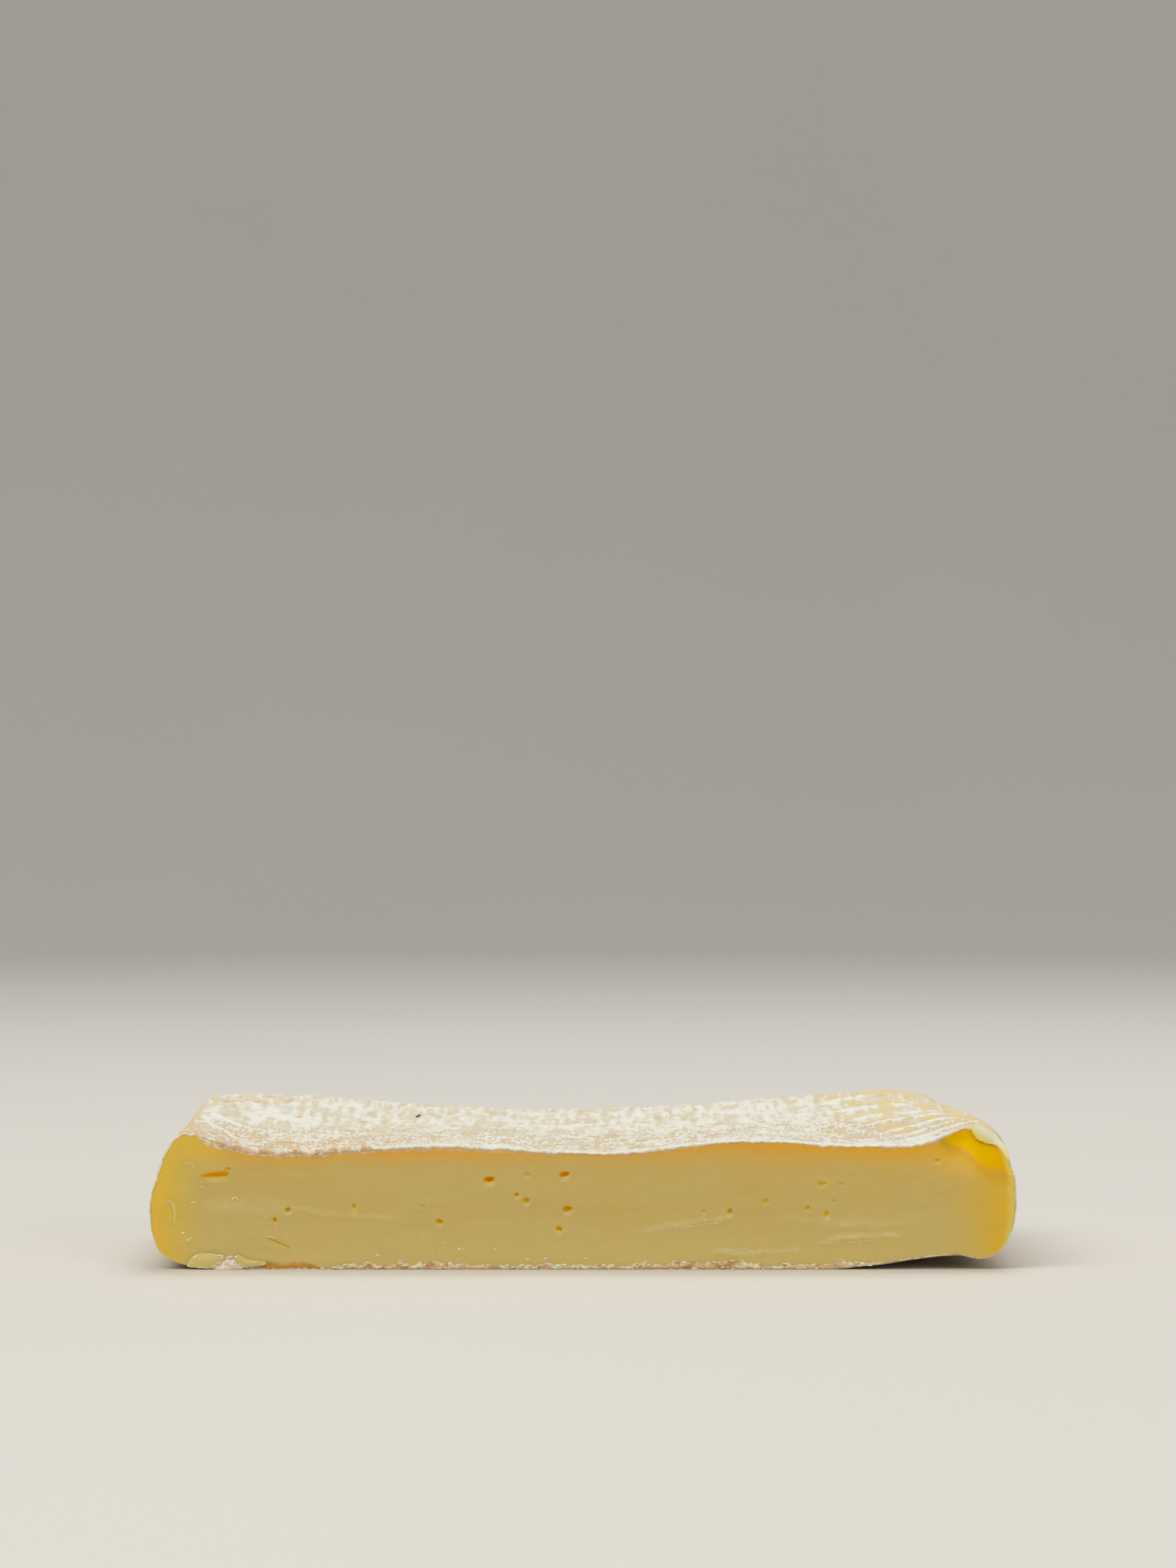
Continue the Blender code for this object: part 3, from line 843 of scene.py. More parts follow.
# cream mould with soft stains; whiter patches, thinly outlined towards the front; barer, yellower shoulders
def rindLook(tree, where, edge, mark):
    x, y, z = partsOf(where)
    scales = cloudy(spots(tree, (1.0, 4.5, 1.0)), 1.05, 4.0, 0.6, 0.3)
    strokes = cloudy(spots(tree, (1.0, 8.0, 1.3)), 1.8, 3.0, 0.5, 0.2)
    patch = cloudy(spots(tree, (1.0, 3.0, 1.0)), 6.0, 4.0, 0.6)
    greys = cloudy(spots(tree, (1.0, 3.0, 1.0)), 3.0, 4.0, 0.6)
    hairs = cloudy(spots(tree, (1.0, 3.6, 1.0), (7.0, 3.0, 0.0)), 1.3, 3.0, 0.6, 0.7)
    rear = graded(edge[2], -40.0, -62.0)
    pattern = plus(scales, times(rear, minus(strokes, scales)))

    def towardsRear(front, back):
        return graded(rear, 0.0, 1.0, front, back)

    # bare on the shoulders, along the rear and in patches at the right; warm at the front left
    shoulder = graded(edge[0], graded(x, 0.0, 60.0, 18.0, 24.0), graded(x, 0.0, 60.0, 3.0, 7.0))
    shoulder = times(shoulder, graded(patch, 0.25, 0.6, 1.0, 0.7))
    rearBand = graded(edge[2], graded(x, 50.0, 72.0, -95.0, -82.0), graded(x, 50.0, 72.0, -106.0, -96.0))
    patches = times(graded(x, 54.0, 74.0), graded(edge[2], -12.0, -24.0), graded(patch, 0.42, 0.56, 0.0, 0.9))
    bare = most(shoulder, times(rearBand, 0.9), patches)
    warm = times(graded(x, -30.0, -66.0), graded(edge[2], -44.0, -16.0), graded(patch, 0.3, 0.55, 0.2, 1.0))
    # lighter straw to the right: partly painted light that lifts the shade on the right shoulder
    straw = blend(graded(x, 50.0, 95.0), bloom["straw"], bloom["strawRight"])
    sideTan = blend(graded(patch, 0.35, 0.65), bloom["sideTan"], bloom["sideGold"])
    under = layered(
        bloom["tan"],
        (graded(patch, 0.42, 0.58), bloom["peach"]),
        # grey-tan spots: painted shade among the mould
        (graded(greys, 0.56, 0.7), bloom["grey"]),
        (bare, blend(graded(z, 35.0, 28.0, 0.0, 0.85), straw, sideTan)),
        (times(warm, 0.85), bloom["ochre"]))
    stain = plus(times(patch, 0.45), times(pattern, 0.55), times(mark[0], -0.12), times(warm, 0.05))
    cover = plus(minus(1.0, pattern), times(mark[0], 0.42), unsteady(patch, -0.07, 0.09),
                 times(bare, graded(x, 52.0, 80.0, -0.10, -0.22)), times(warm, 0.02))
    # thin lines: round the white patches, and fine hairs; partly the tan under the mould, partly painted shade
    # in fine creases
    thin = lineAt(hairs, 0.5, 0.05)
    lines = times(most(times(lineAt(cover, 0.46, 0.035), 0.65), times(thin, 0.65)),
                  graded(cloudy(where, 5.0), 0.35, 0.6, 0.25, 1.0), graded(cover, 0.8, 0.5),
                  towardsRear(1.0, 0.4))
    lines = plus(lines, times(thin, times(warm, 0.3)))
    # straw yellow beside the scoop: partly the rind's own colour, partly painted light lifting the shade on
    # this face
    besideScoop = times(graded(edge[2], -10.0, -2.0), graded(x, 98.0, 102.0), graded(z, 19.0, 23.0),
                        graded(z, 36.0, 29.0, 0.30, 0.9), graded(patch, 0.3, 0.6, 1.0, 0.7))
    colour = layered(
        bloom["cream"],
        (graded(stain, 0.44, towardsRear(0.60, 0.66), 0.0, 0.85), under),
        (times(bare, 0.8), under),
        (graded(mark[0], -0.3, -0.65, 0.0, 0.6), bloom["under"]),
        (graded(cover, towardsRear(0.43, 0.37), towardsRear(0.60, 0.68)), bloom["white"]),
        (lines, bloom["outline"]),
        (besideScoop, bloom["yellow"]))
    return colour, plus(cover, times(hairs, 0.4))


def cheeseLook():
    material, tree, shader = newMaterial("cheesePasteAndRind")
    where = spots(tree)
    edge, mark, zone = (marksOf(tree, name) for name in ("edges", "marks", "zones"))
    pasteColour, fine = pasteLook(tree, where, edge, mark, zone)
    rindColour, rough = rindLook(tree, where, edge, mark)
    torn = plus(edge[2], unsteady(cloudy(where, 0.9, 3.0, 0.6), -0.3, 0.3))
    isPaste = graded(torn, 0.15, 0.4)
    onRind, onPaste = paste["roughness"]
    setShader(shader, blend(isPaste, rindColour, pasteColour), minus(onRind, times(isPaste, onRind - onPaste)),
              paste["soft"])
    feed(graded(mark[1], 0.0, 1.0, 0.35, 0.0), shader.inputs["Specular IOR Level"])  # no shine in the scoop
    onlyRind = times(minus(1.0, isPaste), rough)
    addBump(shader, plus(times(onlyRind, 1.6), times(fine, 0.08)), 0.35, 0.8)
    return material


# block

topCrust = {
    "from": -97.5,
    "to": 99.2,
    # where its torn lower edge hangs: x, z
    "hangs": ((-98, 34.0), (-96.5, 32.2), (-94.2, 31.3), (-89.8, 30.25), (-83.3, 29.2), (-77.8, 28.7),
              (-72.3, 28.85), (-67.0, 28.6), (-63.3, 29.3), (-48.4, 29.85), (-33.4, 30.2), (-26.1, 29.7),
              (-14.8, 29.5), (-8.9, 28.9), (0.8, 29.3), (2.6, 28.8), (10.1, 28.9), (19.0, 29.5), (27.9, 30.6),
              (35.4, 31.7), (44.3, 31.85), (54.0, 31.7), (61.5, 30.7), (74.1, 30.95), (76.4, 30.4),
              (87.5, 31.2), (90.6, 31.6), (93.5, 33.3), (96.8, 34.6), (99.0, 35.2)),
    # how much of the hanging part stands proud, by x; the rest is a tan stain
    "share": ((-97, 0.5), (-62, 0.5), (-50, 0.7), (-20, 0.85), (90, 0.95)),
    "proud": 0.26,
    "wavy": 0.32,
    "ragged": 0.14,
    "step": 0.25,
}


body = makeBlock(cheeseLook())
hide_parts("cheese_half")
print("block made")


# crusts: strands that follow the edges of the cut

footCrust = {
    "from": -66.5,
    "to": 100.0,
    "plain": ((-66.5, 0.1), (-63.5, 0.8)),
    "lumpWide": 2.0,
    # lumps: x, height above the foot
    "lumps": ((-67.7, 0.9), (-63.2, 0.9), (-58.8, 1.9), (-54.3, 2.3), (-51.3, 1.4), (-46.1, 2.7), (-40.9, 2.0),
              (-37.5, 3.0), (-34.2, 2.3), (-30.4, 1.8), (-26.0, 1.6), (-20.8, 1.3), (-14.8, 1.2), (-9.2, 2.5),
              (-5.1, 1.6), (-0.7, 1.5), (4.1, 1.8), (7.8, 1.6), (13.8, 1.8), (15.7, 2.7), (19.0, 1.6),
              (23.4, 2.5), (25.8, 2.7), (28.4, 2.7), (30.9, 2.6), (33.9, 2.4), (37.2, 3.0), (40.2, 3.1),
              (43.6, 2.1), (47.3, 1.0), (52.5, 1.9), (56.3, 1.6), (59.2, 1.8), (63.0, 1.8), (65.6, 2.9),
              (68.2, 1.8), (71.2, 1.2), (80.0, 0.9), (90.0, 0.8)),
    "proud": 0.42,
    "ragged": 0.20,
    "grit": 0.6,
    "step": 0.23,
    "barerFrom": (70.0, 12.0),  # lower and flatter to the right of this x, over this length
}

# rims of rind beside the cut: how thick by height
sideCrust = {
    "left": ((0, 0.32), (10, 0.22), (19, 0.22), (25, 0.34), (31, 0.46), (36, 0.34)),
    "right": ((0, 0.32), (8, 0.22), (14, 0.18), (20, 0.22), (24, 0.24), (30, 0.20)),
    "leftReach": (3.0, 60.0),  # from height to height
    "rightReach": (4.5, 25.5),
    "proud": 0.14,
    "ragged": 0.16,
    "step": 0.22,
}

# the pale fold peeled down beside the scoop: its path as x, z, half width, how proud, and its look
fold = {
    "path": ((99.7, 35.7), (100.4, 34.9), (101.4, 34.2), (102.9, 33.3), (104.7, 32.5), (106.4, 31.2),
             (107.5, 29.4), (108.0, 27.6)),
    "wide": 1.75,
    "proud": 0.14,
    "ribs": 60,
    "soft": (0.5, (1.0, 0.7, 0.2), 0.003),
    "pale": (236, 226, 184),
    "paler": (234, 232, 206),
    "lemon": (250, 230, 112),
    "lowEnd": (244, 220, 124),
}


# points along a run of the cut's edge, a step apart, as (place, share of the way)
def stopsAlong(run, begin, end, step):
    axis = 0 if run in ("top", "foot") else 2
    line = [spot for spot in cutEdges[run] if begin <= spot[axis] <= end]
    stops, left = [], 0.0
    for first, second in zip(line, line[1:]):
        span = (second - first).length
        while left < span:
            stops.append(first.lerp(second, left / span))
            left += step
        left -= span
    return [(stop, index / (len(stops) - 1)) for index, stop in enumerate(stops)]


# one rib of a strand: its middle, and its two half widths as vectors, forward and up
def rib(middle, proud, up, fade=1.0):
    return middle, Vector((0.0, -proud, 0.0)) * fade, Vector(up) * fade


# a closed rope round its ribs, with so many sides around
def strand(name, ribs, around, ragged, grit=1.0):
    obj = sheetOfQuads(name, len(ribs) - 1, around)
    points, marks = [], []
    for x, y, z in readPoints(obj):
        middle, out, up = ribs[round((x + 1.0) / 2.0 * (len(ribs) - 1))]
        turn = (y + 1.0) * math.pi
        away = out * math.cos(turn) + up * math.sin(turn)
        rough = rugged(*(middle + away) / 1.5, 0.8, 2.1, 4)
        rough += 0.5 * abs(noise.noise((middle + away) / 0.55)) * grit
        away *= 1.0 + ragged * rough
        points.append(inBox(middle + away))
        # height round the rope and how far out it stands, from which the crust looks paint shade and light
        marks.append((math.sin(turn), rough, 0.0))
    writePoints(obj, points)
    writeMarks(obj, "marks", marks)
    closeUp(True)
    return obj


def fadeEnds(share, part):
    return smooth(share / part) * smooth((1.0 - share) / part)


def makeTopCrust(material):
    ribs = []
    for edge, share in stopsAlong("top", topCrust["from"], topCrust["to"], topCrust["step"]):
        hang = edge.z + 0.12 - along(topCrust["hangs"], edge.x)
        hang += topCrust["wavy"] * rugged(edge.x / 2.3, 1.0, 0.0, 0.6, 2.0, 5)
        hang = max(0.5, hang * along(topCrust["share"], edge.x))
        proud = topCrust["proud"] * (0.8 + 0.5 * wobble(edge.x / 4.0, 5.0, 0.0))
        middle = edge + Vector((0.0, 0.35, 0.10 - hang / 2.0))
        up = (0.0, -0.24 * hang, hang / 2.0 + 0.05)
        ribs.append(rib(middle, proud + 0.35, up, fadeEnds(share, 0.015)))
    return finishPiece(strand("topCrust", ribs, 16, topCrust["ragged"]), material)


# the softer torn layer that hangs under the lip at the left
lipRoll = {
    "from": -95.5,
    "to": -49.0,
    "step": 0.22,
    "halfHigh": 0.80,
    "proud": 0.26,
    "ragged": 0.30,
    "grit": 0.6,
}


def makeLipRoll(material):
    ribs = []
    for edge, share in stopsAlong("top", lipRoll["from"], lipRoll["to"], lipRoll["step"]):
        fade = fadeEnds(share, 0.10)
        lumpy = rugged(edge.x / 2.6, 7.0, 0.0)
        high = lipRoll["halfHigh"] * (1.0 + 0.55 * lumpy) * fade
        low = along(topCrust["hangs"], edge.x) + 0.15 - 0.35 * lumpy
        proud = lipRoll["proud"] * (1.0 + 0.6 * wobble(edge.x / 1.7, 2.0, 0.0))
        middle = Vector((edge.x, block["cutY"] + 0.3, low + high))
        ribs.append(rib(middle, (proud + 0.3) * fade, (0.0, 0.0, high)))
    return finishPiece(strand("lipRoll", ribs, 16, lipRoll["ragged"], lipRoll["grit"]), material)


def makeFold(material):
    ribs = []
    for index in range(fold["ribs"] + 1):
        share = index / fold["ribs"]
        size = (0.5 + 0.5 * smooth(share / 0.3)) * smooth(share / 0.05)
        size *= mix(1.0, 0.42, smooth((share - 0.42) / 0.3))
        size *= (1.0 - smooth((share - 0.8) / 0.2)) ** 0.6
        ribs.append(pathRib(fold["path"], share, fold["wide"] * size, fold["proud"] * size ** 0.5))
    return finishPiece(strand("peeledFold", ribs, 24, 0.10), material)


def footHeight(x):
    plain = high = along(footCrust["plain"], x)
    for place, lump in footCrust["lumps"]:
        if abs(x - place) < 4.0 * footCrust["lumpWide"]:
            high = max(high, plain + (lump - plain) * bump(x - place, footCrust["lumpWide"]))
    return 0.15 + 0.82 * high


def makeFootCrust(material):
    ribs = []
    place, length = footCrust["barerFrom"]
    for edge, share in stopsAlong("foot", footCrust["from"], footCrust["to"], footCrust["step"]):
        high = footHeight(edge.x)
        high *= 1.0 + 0.26 * rugged(edge.x / 1.7, 3.0, 0.0)
        barer = smooth((edge.x - place) / length)
        high = max(0.25, high) * mix(1.0, 0.75, barer)
        proud = footCrust["proud"] * (0.6 + 0.25 * high) * mix(1.0, 0.5, barer)
        middle = edge + Vector((0.0, 0.5, high / 2.0))
        ribs.append(rib(middle, proud + 0.5, (0.0, 0.0, high / 2.0), fadeEnds(share, 0.02)))
    return finishPiece(strand("footCrust", ribs, 20, footCrust["ragged"], footCrust["grit"]), material)


# up one side of the cut; on the left also round the corner and on to the lip
def makeSideCrust(run, material):
    stops = stopsAlong(run, *sideCrust[run + "Reach"], sideCrust["step"])
    if run == "left":
        stops += stopsAlong("top", -block["halfWidth"], topCrust["from"] + 1.0, sideCrust["step"])
    stops = [stop for stop, share in stops]
    turn = -1.0 if run == "left" else 1.0
    ribs = []
    for index, edge in enumerate(stops):
        way = (stops[min(index + 2, len(stops) - 1)] - stops[max(index - 2, 0)]).normalized()
        side = Vector((way.z, 0.0, -way.x)) * turn
        fade = fadeEnds(index / (len(stops) - 1), 0.06)
        thick = along(sideCrust[run], edge.z) * fade * (0.8 + 0.7 * noise.noise(edge / 2.2))
        middle = edge - side * thick * 0.6 + Vector((0.0, 0.1, 0.0))
        ribs.append(rib(middle, (sideCrust["proud"] + 0.1) * fade, side * thick))
    return finishPiece(strand(run + "Crust", ribs, 12, sideCrust["ragged"]), material)


# from hollows and torn lower edges to the white crests; "rise" is how much the height on the strand counts,
# "soft" the scale of the light under the surface in metres
# deep is partly painted shade in the hollows and under the lumps, partly the tan of the torn rind; crest is
# partly painted light on what stands out
crustColours = {
    "topCrust": {"deep": (232, 188, 108), "body": (228, 208, 176), "crest": (238, 235, 224),
                 "stain": (204, 186, 152), "grain": 0.6, "rise": 0.9, "white": 0.05, "soft": 0.002},
    "lipRoll": {"deep": (208, 160, 104), "body": (224, 194, 156), "crest": (240, 228, 208),
                "stain": (206, 164, 130), "grain": 0.8, "rise": 0.25, "white": -0.1, "soft": 0.002},
    "footCrust": {"deep": (198, 146, 90), "body": (222, 192, 142), "crest": (238, 224, 190),
                  "stain": (214, 178, 130), "grain": 0.55, "rise": -0.15, "white": -0.15, "soft": 0.002},
    "sideCrust": {"deep": (216, 194, 130), "body": (228, 212, 170), "crest": (236, 230, 206),
                  "stain": (214, 192, 140), "grain": 0.6, "rise": 0.3, "white": -0.1, "soft": 0.002},
    "crumbs": {"deep": (230, 190, 150), "body": (242, 222, 196), "crest": (246, 238, 222),
               "stain": (240, 206, 182), "grain": 0.5, "rise": 0.2, "white": 0.2, "soft": 0.0006},
}


def foldLook():
    material, tree, shader = newMaterial("peeledFoldPaste")
    where = spots(tree)
    x, y, z = partsOf(where)
    share = plus(marksOf(tree)[0], unsteady(cloudy(where, 1.0), -0.25, 0.25))
    streaks = graded(cloudy(spots(tree, (1.0, 1.0, 0.5)), 0.8), 0.35, 0.65)
    colour = layered(
        fold["pale"],
        (streaks, fold["paler"]),
        (times(graded(share, 0.0, -0.6), graded(x, 106.0, 102.5)), fold["lemon"]),
        (graded(z, 31.8, 29.8, 0.0, 0.9), fold["lowEnd"]))
    setShader(shader, colour, 0.5, fold["soft"])
    addBump(shader, cloudy(where, 0.6), 0.1, 0.6)
    return material


def crustLook(name):
    tone = crustColours[name]
    material, tree, shader = newMaterial(name + "Mould")
    where, mark = spots(tree), marksOf(tree)
    coarse = cloudy(where, 2.6, 4.0, 0.6)
    fine = cloudy(where, tone["grain"], 3.0, 0.6)
    # the height on the strand and how far the lumps stand out set the colour, from deep in hollows to pale
    # crests: partly painted shade and light
    up = plus(times(mark[0], tone["rise"]), tone["white"])
    if name == "topCrust":  # barer at the left
        up = minus(up, graded(partsOf(where)[0], -52.0, -64.0, 0.0, 0.55))
    up = plus(up, unsteady(coarse, -0.6, 0.6), unsteady(fine, -0.4, 0.4),
              graded(mark[1], -0.5, 0.5, -0.5, 0.5))
    body = blend(graded(cloudy(where, 5.0), 0.5, 0.66), tone["body"], tone["stain"])
    colour = layered(tone["deep"], (graded(up, -1.0, -0.25), body), (graded(up, -0.05, 0.65), tone["crest"]))
    setShader(shader, colour, 0.85, (0.35, (1.0, 0.6, 0.3), tone["soft"]))
    addBump(shader, fine, 0.2, 0.8)
    return material


makeTopCrust(crustLook("topCrust"))
makeLipRoll(crustLook("lipRoll"))
makeFootCrust(crustLook("footCrust"))
sideMould = crustLook("sideCrust")
makeSideCrust("left", sideMould)
makeSideCrust("right", sideMould)
print("crusts made")


# what the knife left on the cut

# smears and drag marks, one row each: the points of the path as x, z, half width, how proud, how ragged
smears = {
    "step": 0.30,
    "paths": (
        (((-104.9, 17.0), (-104.2, 16.9), (-103.6, 15.9), (-103.3, 14.1), (-103.5, 12.3), (-103.8, 11.0)),
         0.60, 0.06, 0.3),
        (((-105.6, 16.4), (-105.2, 17.2), (-104.4, 17.4), (-103.8, 16.8)), 0.20, 0.05, 0.5),
        (((-101.2, 26.2), (-100.3, 27.0), (-99.2, 26.9), (-98.5, 25.8)), 0.18, 0.07, 0.6),
        (((-99.5, 16.6), (-98.8, 16.95), (-98.0, 16.8)), 0.26, 0.15, 0.4),
        (((-88.8, 17.2), (-88.7, 17.9), (-88.1, 18.2), (-87.5, 17.9), (-87.4, 17.3)), 0.20, 0.18, 0.4),
        (((-97.2, 22.4), (-96.8, 22.2), (-96.5, 21.9)), 0.14, 0.09, 0.5),
        (((-97.1, 21.2), (-96.7, 21.0), (-96.3, 20.9)), 0.12, 0.08, 0.5),
        (((-80.4, 8.2), (-79.0, 8.3), (-77.4, 7.8)), 0.15, 0.03, 0.6),
        (((13.0, 9.2), (19.0, 10.2), (24.0, 10.4), (30.0, 11.4), (34.0, 11.8), (38.4, 13.4)), 0.13, 0.02, 0.7),
        (((33.0, 3.5), (35.3, 4.7), (37.5, 4.9), (41.0, 5.2), (44.3, 4.3), (51.2, 4.6), (57.8, 5.1)),
         0.13, 0.02, 0.7),
        (((59.2, 7.0), (61.5, 6.8), (63.7, 6.6), (68.5, 7.0), (73.9, 7.5), (82.0, 8.6)), 0.13, 0.02, 0.7),
    ),
}


# a point on a smooth curve through all points of a path, which may close on itself
def pathPoint(path, share, closed=False):
    last = len(path) if closed else len(path) - 1
    index = min(int(share * last), last - 1)
    part = share * last - index
    rest = 1.0 - part
    near = range(index - 1, index + 3)
    near = [spot % len(path) if closed else min(max(spot, 0), last) for spot in near]
    before, first, second, after = (path[spot] for spot in near)
    return [first[axis] * (1.0 + 2.0 * part) * rest * rest + second[axis] * (3.0 - 2.0 * part) * part * part
            + (second[axis] - before[axis]) / 2.0 * part * rest * rest
            - (after[axis] - first[axis]) / 2.0 * part * part * rest for axis in range(2)]


def pathRib(path, share, wide, proud):
    x, z = pathPoint(path, share)
    aheadX, aheadZ = pathPoint(path, min(1.0, share + 0.02))
    behindX, behindZ = pathPoint(path, max(0.0, share - 0.02))
    way = Vector((aheadX - behindX, 0.0, aheadZ - behindZ)).normalized()
    return rib(onCutFace(x, z), proud, Vector((-way.z, 0.0, way.x)) * wide)


def makeSmears(material):
    made = []
    for path, wide, proud, ragged in smears["paths"]:
        length = sum(math.dist(first, second) for first, second in zip(path, path[1:]))
        count = max(12, int(length / smears["step"]))
        ribs = []
        for index in range(count + 1):
            x, z = pathPoint(path, index / count)
            size = fadeEnds(index / count, 0.22) * (0.85 + 0.6 * wobble(x / 1.4, 8.0, z / 1.4))
            ribs.append(pathRib(path, index / count, wide * size, proud * size))
        made.append(strand("smear", ribs, 8, ragged))
    return finishPiece(joinPieces(made, "knifeSmears"), material)


# flakes of paste pressed up at the foot: points of their outline as x, z
flakes = {
    "outlines": (
        ((-100.3, 1.1), (-99.7, 2.4), (-98.3, 3.6), (-96.5, 4.2), (-94.4, 4.1), (-92.6, 3.8), (-91.5, 3.75),
         (-91.0, 3.1), (-91.7, 2.1), (-92.8, 1.1), (-93.6, 0.45), (-95.3, 0.3), (-97.7, 0.4), (-99.5, 0.6)),
        ((-88.4, 3.2), (-87.5, 3.6), (-86.0, 3.2), (-84.5, 2.6), (-82.7, 2.3), (-80.9, 2.1), (-80.3, 1.6),
         (-80.9, 1.1), (-82.4, 1.0), (-84.2, 0.8), (-86.0, 0.85), (-86.9, 1.4), (-88.0, 2.3)),
    ),
    "thick": 0.26,
    "proud": 0.55,
    "dome": 0.22,
    "curl": 0.20,
    "rim": 0.14,  # share of the way that the pale rim takes up
}

# the heap of soft crumbs between them: x, half width, height, how proud, how rough
heap = {"x": -89.7, "wide": 3.7, "high": 2.9, "proud": 0.75, "rough": 0.22}


def makeFlakes(material):
    made = []
    for outline in flakes["outlines"]:
        deselect()
        bpy.ops.mesh.primitive_uv_sphere_add(segments=96, ring_count=36, radius=1)
        flake = bpy.context.object
        middle = Vector([sum(point[axis] for point in outline) / len(outline) for axis in range(2)])
        points, marks = [], []
        for pole in readPoints(flake):
            # the poles of the ball are turned to face the front and the back
            out = min(1.0, math.hypot(pole[0], pole[1]))
            share = (math.atan2(pole[1], pole[0]) / (2.0 * math.pi)) % 1.0
            reach = math.sin(out * math.pi / 2.0) ** 0.8 if out > 0.0 else 0.0
            edge = Vector(pathPoint(outline, share, True))
            edge += (edge - middle) * 0.05 * rugged(edge.x / 0.7, 6.0, edge.y / 0.7, 0.7, 2.0, 3)
            x, z = middle + (edge - middle) * reach
            side = 1.0 if pole[2] > 0.0 else -1.0
            thick = flakes["thick"] * (1.0 - reach ** 4) ** 0.5 * side
            ragged = 0.8 + 1.1 * wobble(edge.x / 1.4, 2.0, edge.y / 1.4)
            rim = smooth((reach - 1.0 + flakes["rim"] * ragged) / 0.05)
            forward = flakes["proud"] * (0.45 + 0.55 * smooth(z / 4.0))
            forward += flakes["dome"] * (1.0 - reach * reach)
            forward += flakes["curl"] * rim + thick + 0.07 * rugged(x / 2.6, 3.0, z / 0.9)
            points.append(inBox((x, block["cutY"] - forward, z)))
            marks.append((rim, 0.0, 0.0))
        writePoints(flake, points)
        writeMarks(flake, "marks", marks)
        closeUp()
        made.append(flake)
    return finishPiece(joinPieces(made, "footFlakes"), material)


def makeHeap(material):
    mound = lumpyBall(6)
    points, marks = [], []
    for point in readPoints(mound):
        point = Vector(point)
        x = heap["x"] + heap["wide"] * point.x * (1.0 - 0.4 * point.z)
        z = heap["high"] * (point.z + 0.35) / 1.35
        rough = rugged(*Vector((x, 0.0, z)) / 1.1, 0.6, 2.1, 5)
        rough += 0.6 * abs(wobble(*Vector((x, 5.0, z)) / 0.5))
        forward = point.y
        if forward < 0.0:
            forward = heap["proud"] * point.y - heap["rough"] * rough * abs(point.y)
        lift = 1.0 + 0.25 * rugged(x / 0.8, 1.0, 0.0, 0.7, 2.0, 3)
        points.append(inBox((x, block["cutY"] + forward, max(0.05, z * lift))))
        # height on the heap and how far out it stands, from which the crumb look paints shade and light
        marks.append((point.z, rough, 0.0))
    writePoints(mound, points)
    writeMarks(mound, "marks", marks)
    mound.name = "crumbHeap"
    return finishPiece(mound, material)


# crumbs: how many, between which x or which heights, and from what size to what size
crumbs = {
    "stretch": (0.65, 1.25),
    "lumpy": 0.55,
    "fineFrom": 0.26,  # size from which a crumb gets more points
    "foot": {"count": 210, "from": -66.5, "to": 76.0, "size": (0.10, 0.40)},
    "gap": {"count": 60, "from": -93.5, "to": -85.0, "size": (0.10, 0.34)},
    "left": {"count": 40, "low": 13.0, "high": 20.5, "size": (0.12, 0.30)},
    "right": {"count": 26, "low": 12.0, "high": 26.0, "size": (0.10, 0.26)},
    "lip": {"count": 30, "from": -94.0, "to": -54.0, "size": (0.08, 0.18)},
    "specks": {"count": 26, "from": -100.0, "to": 96.0, "low": 3.0, "high": 14.0, "size": (0.06, 0.12)},
    # single ones on the cut: x, z, size
    "single": ((-101.4, 9.2, 0.34), (-100.2, 7.5, 0.30), (-99.5, 7.9, 0.22), (-89.5, 9.0, 0.20),
               (-80.5, 13.3, 0.20), (-40.4, 8.0, 0.20), (-35.4, 6.8, 0.24), (-31.3, 5.1, 0.34),
               (-30.4, 5.2, 0.24), (-36.3, 5.0, 0.16), (-52.0, 3.6, 0.28), (-22.1, 5.1, 0.26),
               (-17.3, 5.0, 0.24), (-13.9, 2.5, 0.30), (-9.4, 2.7, 0.36), (0.8, 2.8, 0.34),
               (1.2, 2.2, 0.26), (31.0, 12.6, 0.20), (58.0, 4.1, 0.18)),
}


def lumpyBall(levels):
    deselect()
    bpy.ops.mesh.primitive_ico_sphere_add(subdivisions=levels, radius=1)
    return bpy.context.object


def makeCrumbs(name, places, material, squeeze=(1.0, 1.0, 1.0)):
    models = lumpyBall(1), lumpyBall(2)
    made = []
    for place, size in places:
        model = models[size > crumbs["fineFrom"]]
        crumb = model.copy()
        crumb.data = model.data.copy()
        bpy.context.collection.objects.link(crumb)
        turn = Euler([random.uniform(0.0, 6.28) for axis in range(3)]).to_matrix()
        stretch = Vector([random.uniform(*crumbs["stretch"]) for axis in range(3)])
        seed = Vector([random.uniform(0.0, 90.0) for axis in range(3)])
        points = []
        for point in readPoints(crumb):
            point = Vector(point) * (1.0 + crumbs["lumpy"] * wobble(*Vector(point) * 1.7 + seed))
            points.append(inBox(place + scaled(turn @ scaled(point, stretch), squeeze) * size))
        writePoints(crumb, points)
        made.append(crumb)
    for model in models:
        bpy.data.objects.remove(model, do_unlink=True)
    return finishPiece(joinPieces(made, name), material)


def crumbSize(kind):
    small, large = crumbs[kind]["size"]
    return small + (large - small) * random.random() ** 2


